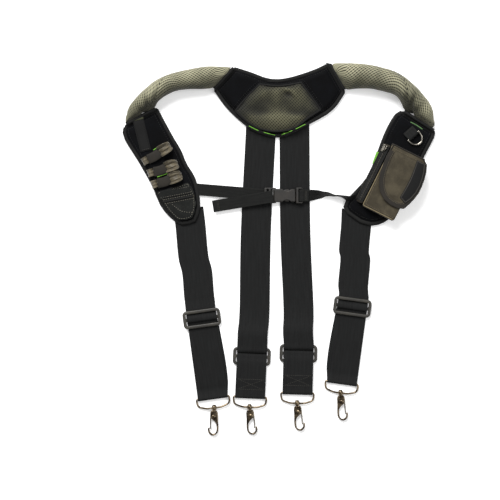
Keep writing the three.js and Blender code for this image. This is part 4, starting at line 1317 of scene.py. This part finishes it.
def make_flap(pouch):
    node = "pouch_flap"
    low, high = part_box(node)
    loop = outline_of(node, 0.5)
    full = high.z - low.z
    piece = plate("flap_cloth", moved_in(loop, 0.6 * MM), low.z + 0.1 * MM, high.z)
    remesh(piece, 2.0 * MM)
    relax(piece, 3)
    swell(piece, 1.0 * MM, 2.0)
    finer(piece, 1)
    rows = vertices(piece)
    edge = inside_distance(rows, loop)
    crown = 0.62 + 0.36 * ease(edge, 0, 20 * MM) - 0.14 * hump(edge, 10.5 * MM, 1.4 * MM)
    ripple = 0.1 * cloth_noise(rows, 18 * MM, 14.0)
    height = np.clip((rows[:, 2] - low.z) / full, 0, 1.1)
    rows[:, 2] = low.z + height * (crown + ripple) * full
    place_vertices(piece, rows)
    relax(piece, 1, 0.4)
    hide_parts(node)
    finished(piece, KHAKI_CLOTH, "flap")
    surface = surface_height(piece)
    inner = even_steps(moved_in(loop, 4.6 * MM), 2 * MM, closed=True)
    top = max(p.dot(pouch.y) for p in inner)
    below = [top - p.dot(pouch.y) > 6 * MM for p in inner]
    first = next(i for i in range(len(inner)) if below[i] and not below[i - 1])
    inner = [p for p in inner[first:] + inner[:first] if top - p.dot(pouch.y) > 6 * MM]
    band = tape("flap_binding", laid_on(surface, inner, -0.1 * MM), 4.6 * MM, 0.75 * MM, power=3.2)
    finished(band, POUCH_TRIM, "flap")
    edge_cord = tape("flap_edge", level_at(even_steps(moved_in(loop, 1.1 * MM), 2 * MM, closed=True),
                                           low.z + 0.5 * full), 1.2 * MM, 1.35 * MM, closed=True)
    finished(edge_cord, POUCH_TRIM, "flap")
    seam = laid_on(surface, even_steps(moved_in(loop, 7.4 * MM), 1.5 * MM, closed=True), 0.75 * MM)
    stitches("flap_stitching", [seam], TAN_THREAD, "flap", 2.0 * MM, 1.0 * MM, 0.5 * MM)
    make_flap_label(surface)


def make_flap_label(surface):
    """Blank moulded rubber patch with a raised rim."""
    node = "flap_label"
    loop = outline_of(node, 0.5)
    low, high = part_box(node)
    piece = plate("flap_patch", moved_in(loop, 0.3 * MM), low.z - 0.6 * MM, low.z + 0.75 * MM)
    rounded(piece, 0.4 * MM, 3)
    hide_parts(node)
    finished(piece, RUBBER, "flap")
    rim = tape("flap_patch_rim", level_at(even_steps(moved_in(loop, 2.0 * MM), 1.5 * MM, closed=True),
                                          low.z + 0.8 * MM), 0.8 * MM, 0.4 * MM, closed=True, sides=8)
    finished(rim, RIM_RUBBER, "flap")


def make_zip(pouch):
    """The gusset with its tapes, two rows of teeth, the slider and its pull."""
    node = "zip_gusset"
    gusset = remesh(copy_of("gusset", node), 1.4 * MM)
    relax(gusset, 4)
    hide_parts(node)
    finished(gusset, GUSSET_CLOTH, "harness")
    rows = vertices(frame["nodes"][node])
    x, y, z = pouch.local(rows)
    inner, outer = x.max(), x.min()
    low_edge, high_edge = z[x < outer + 0.1 * MM].max(), z.max()
    slope = (pouch.x * (inner - outer) + UP * (high_edge - low_edge)).normalized()
    face_way = slope.cross(-pouch.y).normalized()
    if face_way.z < 0:
        face_way.negate()
    centre = pouch.at((inner + outer) / 2, 0, (low_edge + high_edge) / 2)
    half = (y.max() - y.min()) / 2 - 3 * MM
    for side in (-1, 1):
        path = [centre + slope * side * 4.6 * MM + pouch.y * t * half + face_way * 0.2 * MM for t in (-1, 1)]
        tape_piece = ribbon(f"zip_tape_{'outer' if side < 0 else 'inner'}", path, 6 * MM, 0.6 * MM,
                            lambda t: slope, columns=4)
        finished(tape_piece, NARROW_WEBBING, "harness")
    make_zip_teeth(pouch, centre, slope, face_way, half)
    for name, body in (("zip_slider", "zip_slider"), ("zip_pull", "zip_pull")):
        moulded(name + "_cast", name, 0.28 * MM, 3, BRIGHT_NICKEL, body)
    piping = [pouch.at(outer - 0.8 * MM, t * half, low_edge * 0.5) for t in (-1, 1)]
    finished(tape("gusset_edge", even_steps(piping, 3 * MM), 0.9 * MM, 1.2 * MM), POUCH_TRIM,
             "harness")


def make_zip_teeth(pouch, centre, slope, face_way, half):
    shape = bmesh.new()
    turn = Matrix((slope, pouch.y, face_way)).transposed().to_4x4()
    pitch = 1.9 * MM
    count = int(2 * half / pitch)
    for i in range(count):
        side = -1 if i % 2 else 1
        place = centre + pouch.y * (-half + (i + 0.5) * pitch) + slope * side * 0.7 * MM + face_way * 0.55 * MM
        made = bmesh.ops.create_cube(shape, size=1)["verts"]
        size = Matrix.Diagonal((2.6 * MM, 1.1 * MM, 1.2 * MM, 1))
        bmesh.ops.transform(shape, verts=made, matrix=Matrix.Translation(place) @ turn @ size)
    piece = piece_from("zip_teeth", shape)
    rounded(piece, 0.2 * MM, 1)
    finished(piece, DARK_PLASTIC, "harness")


TAN_TAPE = webbing_material("tan_piping", "6b6049", "998b6c", rib=0.7 * MM)


# ---------------------------------------------------------------- ring on the right pad

def make_ring():
    hinge = pivot("ring_swing")
    bar_way = axis("ring_swing")
    far_way = UP.cross(bar_way)
    rows = vertices(frame["nodes"]["tab_ring"]) - np.array(hinge)
    reach = (rows @ np.array(far_way)).max()
    if abs((rows @ np.array(far_way)).min()) > reach:
        far_way, reach = -far_way, abs((rows @ np.array(far_way)).min())
    wire = (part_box("tab_ring")[1].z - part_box("tab_ring")[0].z) / 2
    half = np.abs(rows @ np.array(bar_way)).max() - wire
    reach -= wire
    at = lambda u, v: hinge + far_way * u + bar_way * v
    bow = [at(reach * math.cos(a), half * math.sin(a)) for a in np.linspace(-1.05, 1.05, 15)]
    dee = [at(0, -half * 0.96), *bow, at(0, half * 0.96)]
    path = even_steps(smooth_path(dee, 4) + [dee[0]], 1.2 * MM)[:-1]
    ring = tape("dee_ring", path, wire, wire, closed=True, sides=14)
    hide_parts("tab_ring")
    finished(ring, BRIGHT_NICKEL, "tab_ring")

    low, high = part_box("ring_tab")
    lie = Lie("ring_tab", far_way)
    tail = -lie.long + 4.5 * MM
    around = wire + 1.05 * MM
    base = low.z + 0.8 * MM
    profile = [(tail, base), (-6 * MM, base), (-1 * MM, hinge.z - around), (around * 0.8, hinge.z - around * 0.6),
               (around, hinge.z), (around * 0.7, hinge.z + around * 0.75), (-0.5 * MM, hinge.z + around),
               (-6 * MM, hinge.z + 0.3 * MM), (tail, base + 1.9 * MM)]
    path = smooth_path([Vector((*(hinge + far_way * u)[:2], z)) for u, z in profile], 6)
    tab = ribbon("tab_fold", path, lie.wide, 1.4 * MM, lambda t: bar_way, columns=8, step=1.2 * MM)
    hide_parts("ring_tab")
    path_length(path)
    finished(tab, NARROW_WEBBING, "harness")
    rows = [[Vector((*(hinge + far_way * (tail + d) + bar_way * v * lie.wide * 0.38)[:2], base + 2.9 * MM))
             for v in (-1, 1)] for d in (2 * MM, 5 * MM)]
    stitches("tab_stitching", rows, GREY_THREAD, "harness", 2 * MM, 0.8 * MM, 0.6 * MM)


def make_right_accents(loop, height):
    """Short bright piping on the inner edge, and a bright seam line beside the roll."""
    rows = np.array([tuple(p) for p in loop])
    pouch = PouchFrame()
    mark = pouch.at(-pouch.half_wide - 20 * MM, pouch.half_long - 33 * MM, 0)
    path = even_steps(moved_in(loop, 0.9 * MM), 1.5 * MM, closed=True)
    nearest = min(range(len(path)), key=lambda i: (path[i] - mark).xy.length)
    stretch = [path[(nearest + k) % len(path)] for k in range(-7, 8)]
    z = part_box("right_front_pad")[0].z + 0.66 * 10 * MM + 1.2 * MM
    assert len(rows) > 2
    finished(tape("pad_piping", level_at(stretch, z), 2.5 * MM, 1.0 * MM), LIME, "harness")
    hinge = pivot("ring_swing")
    line = [hinge + Vector((x, y, 0)) * MM for x, y in ((-4, 23), (6, 18), (16, 11))]
    run = laid_on(height, even_steps(line, 2 * MM), 0.5 * MM)
    finished(tape("seam_piping", run, 0.9 * MM, 0.7 * MM), MOSS, "harness")


MOSS = thread_material("moss_piping", "3c5a34", "5e8050")


# ---------------------------------------------------------------- the four straps

def spread_along(node, start, way):
    """Least and greatest distance of a node's points from a place, along a direction."""
    away = (vertices(frame["nodes"][node]) - np.array(start)) @ np.array(way)
    return away.min(), away.max()


def slow_wave(seed, size):
    """A gentle unevenness for a strap that lies on a table."""
    def wave(u, t):
        return size * noise.noise(Vector((u * 1.6 + seed, t * 5.0, seed)))
    return wave


WEB_WIDE = 50 * MM
BAR_HALF = 2.75 * MM
SLOT = 6.7 * MM
LAYER = 1.4 * MM


def make_upper_webbing(name, slider, back):
    """From the pad or the yoke down to the slider. On a back strap it dives into the slider's slot."""
    up = axis(f"{name}_adjust")
    down = axis(f"{name}_webbing_run")
    node = f"{name}_upper_webbing"
    near, far = spread_along(node, slider, up)
    low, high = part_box(node)
    across = up.cross(UP)
    across_slider = (-down).cross(UP)
    base = low.z + 0.8 * MM
    ground = Vector((slider.x, slider.y, 0))
    stack = 2 * pivot(f"{name}_loop_swing").z
    if back:
        inner = [(5.9, 2.8), (6.7, 4.2), (8.4, 5.5), (12, 5.7), (17, 5.7)]
    else:
        inner = [(12.2, 2.9), (15.5, 2.9), (19, 2.7)]
    lead = [ground - down * s * MM + UP * z * MM for s, z in inner]
    free = stack - 1.84 * MM if back else 1.84 * MM
    lean = 1.5 * MM
    stations = [(near + 6 * MM, free, 0), (near + 18 * MM, free, 0), (near + 54 * MM, base, lean),
                ((near + far) / 2, base + 0.2 * MM, -lean), (far - 30 * MM, base, 0), (far, base, 0)]
    path = smooth_path(lead + [ground + up * s + across * aside + UP * z for s, z, aside in stations], 8)
    wide = Lie(node, up).wide
    turn_share = 45 * MM / (far - near)

    def side(t):
        return across_slider.lerp(across, float(ease(np.array(t), 0.1 * turn_share, turn_share)))

    piece = ribbon(f"{name}_strap", path, min(wide, WEB_WIDE), LAYER, side,
                   slow_wave(len(name), 0.4 * MM), columns=14, step=3 * MM)
    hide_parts(node)
    finished(piece, BLACK_WEBBING)
    path_length(path)
    ground + up * (far - 20 * MM)
    ground + up * (near + 4 * MM)
    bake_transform(piece)


def make_lower_webbing(name, slider, back):
    """One run of webbing: through the slider, down to the hook's loop, round it and back to the crossbar.

    The heights are a front strap's; a back strap lies face down, so its stack of layers is turned over.
    """
    down = axis(f"{name}_webbing_run")
    across = down.cross(UP)
    bar = pivot(f"{name}_loop_swing")
    long = (bar - slider).xy.length
    stack = 2 * bar.z
    low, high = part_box(f"{name}_lower_webbing")
    over = (stack - low.z if back else high.z) - 0.95 * MM
    live = 2.95 * MM
    dead = 1.2 * MM
    reach = 2.65 * MM
    aside = {"front_left": -4.5 * MM, "front_right": 4.5 * MM}.get(name, 0)
    sunk = 0.9 * MM if back else 0  # leaves room for the hook when its loop swings over a back strap
    start = [(-6.2 * MM, over, 0)] if back else [
        (-12.6 * MM, live, 0), (-BAR_HALF - SLOT + 0.9 * MM, live, 0), (-BAR_HALF - 1.0 * MM, over, 0)
    ]
    turns = [math.pi * (0.5 - k / 8) for k in range(9)]
    stations = [
        *start, (BAR_HALF + 1.0 * MM, over, 0), (BAR_HALF + SLOT - 0.9 * MM, live, 0), (long * 0.5, live, 0),
        (long - 26 * MM, live, 0), (long - 12 * MM, live + sunk, 0),
        *[(long + reach * math.cos(turn), bar.z + reach * math.sin(turn), 0) for turn in turns],
        (long - 13 * MM, dead + sunk, aside * 0.5), (long - 26 * MM, dead, aside * 0.9), (long * 0.55, dead, aside), (BAR_HALF + SLOT + 2 * MM, dead, aside * 0.3),
        (BAR_HALF + 0.6 * MM, 2.6 * MM, 0), (0, 3.1 * MM, 0), (-BAR_HALF - 0.5 * MM, 3.6 * MM, 0),
        (-BAR_HALF - 1.4 * MM, 5.4 * MM, 0),
    ]
    path = []
    for s, z, away in stations:
        level = stack - z if back else z
        path.append(Vector((slider.x, slider.y, 0)) + down * s + across * away + UP * level)
    path = smooth_path(path, 6)
    piece = ribbon(f"{name}_lower_strap", path, WEB_WIDE, LAYER, lambda t: across,
                   slow_wave(len(name) + 3, 0.2 * MM), columns=14, step=1.6 * MM)
    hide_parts(f"{name}_lower_webbing", f"{name}_webbing_end")
    finished(piece, BLACK_WEBBING)
    path_length(path)
    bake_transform(piece)
    if back:
        make_boxed_cross(name, bar, down, across, surface_height(piece))


def make_boxed_cross(name, bar, down, across, height):
    """Two rows of stitches across the strap with a cross between them."""
    def corner(up_from_end, side):
        return bar - down * up_from_end + across * side * 22 * MM

    low, high = 12 * MM, 29 * MM
    cross = [[corner(low, -side), corner(high, side)] for side in (-1, 1)]
    cross = [[a.lerp(b, 0.06), a.lerp(b, 0.94)] for a, b in cross]
    rows = [[corner(row, -1), corner(row, 1)] for row in (low, high)]
    rows = [laid_on(height, even_steps(row, 2 * MM), 0.1 * MM) for row in rows + cross]
    stitches(f"{name}_boxed_cross", rows, GREY_THREAD, f"{name}_strap_end",
             2.2 * MM, 0.9 * MM)


# ---------------------------------------------------------------- hooks

def make_wire_loop(name):
    """Round wire bent to a flat trapezium, with the swivel's barrel in the middle of its far side."""
    bar = pivot(f"{name}_loop_swing")
    boss = pivot(f"{name}_swivel")
    out = (boss - bar).normalized()
    side = UP.cross(out)
    drop = (boss - bar).length
    half = 28 * MM
    corners = [(0, -half), (13 * MM, 2 * MM - half), (drop, -12 * MM), (drop, 12 * MM), (13 * MM, half - 2 * MM), (0, half)]
    points = [bar + out * u + side * v for u, v in corners]
    path = []
    count = len(points)
    for i in range(count):
        a, b, c = points[i - 1], points[i], points[(i + 1) % count]
        cut = min(4.6 * MM, 0.45 * (a - b).length, 0.45 * (c - b).length)
        first, last = b + (a - b).normalized() * cut, b + (c - b).normalized() * cut
        path += [first * (1 - t) ** 2 + b * 2 * t * (1 - t) + last * t * t for t in np.linspace(0, 1, 7)]
    wire = tape(f"{name}_wire", even_steps(path, 1.6 * MM, closed=True), 1.6 * MM, 1.6 * MM, closed=True, sides=14)
    heading = axis(f"{name}_swivel")
    barrel = lathe([(-3.5, 2.1), (-3.5, 3.3), (-2.6, 4.0), (-1.2, 4.2), (1.2, 4.2), (2.6, 4.0), (3.5, 3.2), (3.5, 2.1)],
                   boss, heading)
    piece = joined(f"{name}_loop_casting", [wire, barrel])
    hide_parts(f"{name}_wire_loop")
    finished(piece, AGED_NICKEL, f"{name}_loop")


def lathe(profile, place, way, segments=28):
    """A turned piece. The profile is (along, radius) in millimetres, closed round on itself."""
    shape = bmesh.new()
    verts = [shape.verts.new((r * MM, 0, a * MM)) for a, r in profile]
    edges = [shape.edges.new((verts[i], verts[(i + 1) % len(verts)])) for i in range(len(verts))]
    bmesh.ops.spin(
        shape, geom=verts + edges, cent=(0, 0, 0), axis=(0, 0, 1), angle=TURN, steps=segments, use_merge=True
    )
    bmesh.ops.remove_doubles(shape, verts=shape.verts, dist=0.001 * MM)
    bmesh.ops.recalc_face_normals(shape, faces=shape.faces)
    turn = way.to_track_quat("Z", "Y").to_matrix().to_4x4()
    bmesh.ops.transform(shape, verts=shape.verts, matrix=Matrix.Translation(place) @ turn)
    return piece_from("turned", shape)


def make_hook(name):
    moulded(f"{name}_snap_hook", f"{name}_hook", 0.45 * MM, 7, AGED_NICKEL, f"{name}_snap")
    moulded(f"{name}_hook_gate", f"{name}_gate", 0.3 * MM, 4, BRIGHT_NICKEL, f"{name}_gate")


def make_strap(name):
    back = name.startswith("back")
    slider = middle(f"{name}_slider")
    make_upper_webbing(name, slider, back)
    make_lower_webbing(name, slider, back)
    moulded(f"{name}_buckle", f"{name}_slider", 0.55 * MM, 4, DARK_PLASTIC, f"{name}_adjuster")
    make_wire_loop(name)
    make_hook(name)


# ---------------------------------------------------------------- chest strap

def make_chest_strap():
    left = Lie("chest_strap_left", Vector((-1, 0, 0)))
    base = (left.low + 0.75 * MM)
    top = left.high - 0.8 * MM
    reach = left.long / 2
    profile = [(-reach + 0.6 * MM, top), (-reach + 0.7 * MM, base + 1.4 * MM), (-reach + 2 * MM, base + 0.2 * MM),
               (-reach + 12 * MM, base), (0, base + 0.3 * MM), (reach, base)]
    path = smooth_path([left.at(u, 0, z) for u, z in profile], 8)
    wide = 19.8 * MM
    piece = ribbon("chest_webbing_left", path, wide, 1.3 * MM, lambda t: left.across, slow_wave(4.2, 0.3 * MM), columns=8, step=2 * MM)
    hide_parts("chest_strap_left")
    finished(piece, NARROW_WEBBING, "harness")
    path_length(path)

    tail = Lie("chest_strap_tail", Vector((-1, 0, 0)))
    low, high = tail.low + 0.75 * MM, tail.high - 0.75 * MM
    reach = tail.long / 2
    profile = [(-reach, high), (-reach + 17 * MM, high), (-reach + 34 * MM, high - 1.6 * MM),
               (-reach + 60 * MM, low + 0.3 * MM), (reach, low)]
    path = smooth_path([tail.at(u, 0, z) for u, z in profile], 8)
    piece = ribbon("chest_webbing_tail", path, wide, 1.3 * MM, lambda t: tail.across, slow_wave(7.7, 0.3 * MM), columns=8, step=2 * MM)
    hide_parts("chest_strap_tail")
    finished(piece, NARROW_WEBBING, "harness")
    path_length(path)
    hem = [[tail.at(reach - d, v * 8 * MM, low + 0.75 * MM) for v in (-1, 1)] for d in (8 * MM, 10 * MM)]
    stitches("tail_hem_stitching", hem, GREY_THREAD, "harness", 2 * MM, 0.8 * MM, 0.6 * MM)
    make_right_chest_webbing(wide)
    make_chest_fold(wide)


def make_right_chest_webbing(wide):
    """The stretch that stands on edge half way between the clip and the right pad."""
    node = "chest_strap_right"
    rows = vertices(frame["nodes"][node])
    low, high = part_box(node)
    clip = middle("buckle_clip")
    count = 12
    marks = np.linspace(low.x, high.x, count + 1)
    path = []
    for a, b in zip(marks, marks[1:]):
        near = rows[(rows[:, 0] >= a - 3 * MM) & (rows[:, 0] <= b + 3 * MM)]
        path.append(Vector(((a + b) / 2, near[:, 1].mean(), near[:, 2].mean())))
    path = [Vector((low.x + 0.3 * MM, clip.y, clip.z)), *path[1:-1], Vector((high.x - 2 * MM, path[-1].y, path[-1].z))]
    path = smooth_path(path, 4)

    def swing(t):
        rising = float(ease(np.array(t), -0.25, 0.62))
        falling = float(ease(np.array(t), 0.66, 1.15))
        return math.radians(87 * rising - 62 * falling)

    def across(t):
        return Vector((0.05, math.cos(swing(t)), math.sin(swing(t))))

    for number, point in enumerate(path):
        standing = wide / 2 * math.sin(swing(number / (len(path) - 1)))
        point.z = max(point.z, standing + 0.9 * MM)

    piece = ribbon("chest_webbing_right", path, wide, 1.3 * MM, across, columns=8, step=1.5 * MM)
    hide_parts(node)
    finished(piece, NARROW_WEBBING)
    path_length(path)
    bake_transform(piece)


def make_chest_fold(wide):
    node = "chest_strap_fold"
    low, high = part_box(node)
    y = (low.y + high.y) / 2
    z = (low.z + high.z) / 2
    half = (high.z - low.z) / 2 - 0.7 * MM
    end, start = high.x, low.x + 0.8 * MM
    profile = [(end, -0.85), (end - 6 * MM, -0.95), (end - 9.5 * MM, None), (start + 1.6 * MM, None)]
    lower = [(x, (-half if dz is None else dz * MM)) for x, dz in profile]
    upper = [(x, -dz) for x, dz in reversed(lower)]
    points = [Vector((x, y, z + dz)) for x, dz in [*lower, (start, -half * 0.55), (start, half * 0.55), *upper]]
    path = smooth_path(points, 5)
    piece = ribbon("chest_webbing_fold", path, wide, 1.3 * MM, lambda t: Vector((0, 1, 0)), columns=8, step=1 * MM)
    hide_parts(node)
    path_length(path)
    finished(piece, NARROW_WEBBING, "buckle_clip")
    top = z + 0.85 * MM + 0.7 * MM
    rows = [[Vector((end - d, y + s * 7.5 * MM, top)) for s in (-1, 1)] for d in (3.4 * MM, 4.8 * MM, 6.2 * MM)]
    stitches("fold_stitching", rows, GREY_THREAD, "buckle_clip", 1.8 * MM, 0.5 * MM, 0.6 * MM)


def make_buckle():
    moulded("socket_moulding", "buckle_socket", 0.42 * MM, 4, BROWN_PLASTIC, "harness")
    moulded("clip_moulding", "buckle_clip", 0.42 * MM, 4, BROWN_PLASTIC, "buckle_clip")
    for way in ("upper", "lower"):
        moulded(f"prong_{way}_moulding", f"buckle_prong_{way}", 0.35 * MM, 4, BROWN_PLASTIC, f"{way}_prong")


# ---------------------------------------------------------------- stage

VIEW_WIDE = 0.8333
VIEW_ASIDE = -0.0488
CAMERA_HIGH = 3.2
SENSOR = 36.0
WORLD_LIGHT = 0.35


def make_camera():
    camera = bpy.data.cameras.new("camera")
    camera.sensor_width = SENSOR
    camera.lens = SENSOR * CAMERA_HIGH / VIEW_WIDE
    holder = bpy.data.objects.new("camera", camera)
    holder.location = (VIEW_ASIDE, -0.0015, CAMERA_HIGH)
    bpy.context.scene.collection.objects.link(holder)
    bpy.context.scene.camera = holder


def make_light(name, place, size, watts):
    light = bpy.data.lights.new(name, "AREA")
    light.size = size
    light.energy = watts
    holder = bpy.data.objects.new(name, light)
    holder.location = place
    holder.rotation_euler = (Vector((0, 0, 0)) - Vector(place)).to_track_quat("-Z", "Y").to_euler()
    bpy.context.scene.collection.objects.link(holder)


def make_stage():
    shape = bmesh.new()
    bmesh.ops.create_grid(shape, x_segments=1, y_segments=1, size=6)
    floor = piece_from("floor", shape)
    board = Board("pale_floor")
    tone = board.noise(3, 2.0)
    pale = board.mix(tone, (0.9, 0.9, 0.9, 1), (0.94, 0.94, 0.94, 1))
    lifted = {"Emission_Color": (1, 1, 1, 1), "Emission_Strength": 0.3}
    floor.data.materials.append(board.finish(pale, 0.9, **lifted))
    world = bpy.data.worlds.new("studio")
    world.use_nodes = True
    world.node_tree.nodes["Background"].inputs["Color"].default_value = (1, 1, 1, 1)
    world.node_tree.nodes["Background"].inputs["Strength"].default_value = WORLD_LIGHT
    bpy.context.scene.world = world
    make_light("key", (-1.5, 3.4, 3.9), 2.8, 400)
    make_light("fill", (2.6, 0.0, 3.2), 2.8, 60)
    bpy.context.scene.view_settings.view_transform = "Standard"


# ---------------------------------------------------------------- the whole harness

make_camera()
make_stage()
make_yoke()
rolls = [make_roll("left"), make_roll("right")]
left_loop, left_height = make_front_pad("left")
right_loop, right_height = make_front_pad("right")
make_roll_seams(rolls)
make_label_tab(left_height)
keepers = [make_tool_loop(number) for number in (1, 2, 3)]
make_loop_piping(keepers)
make_left_pocket()
pouch = PouchFrame()
make_pouch_body(pouch)
make_flap(pouch)
make_zip(pouch)
make_ring()
make_right_accents(right_loop, right_height)
for strap in STRAPS:
    make_strap(strap)
make_chest_strap()
make_buckle()
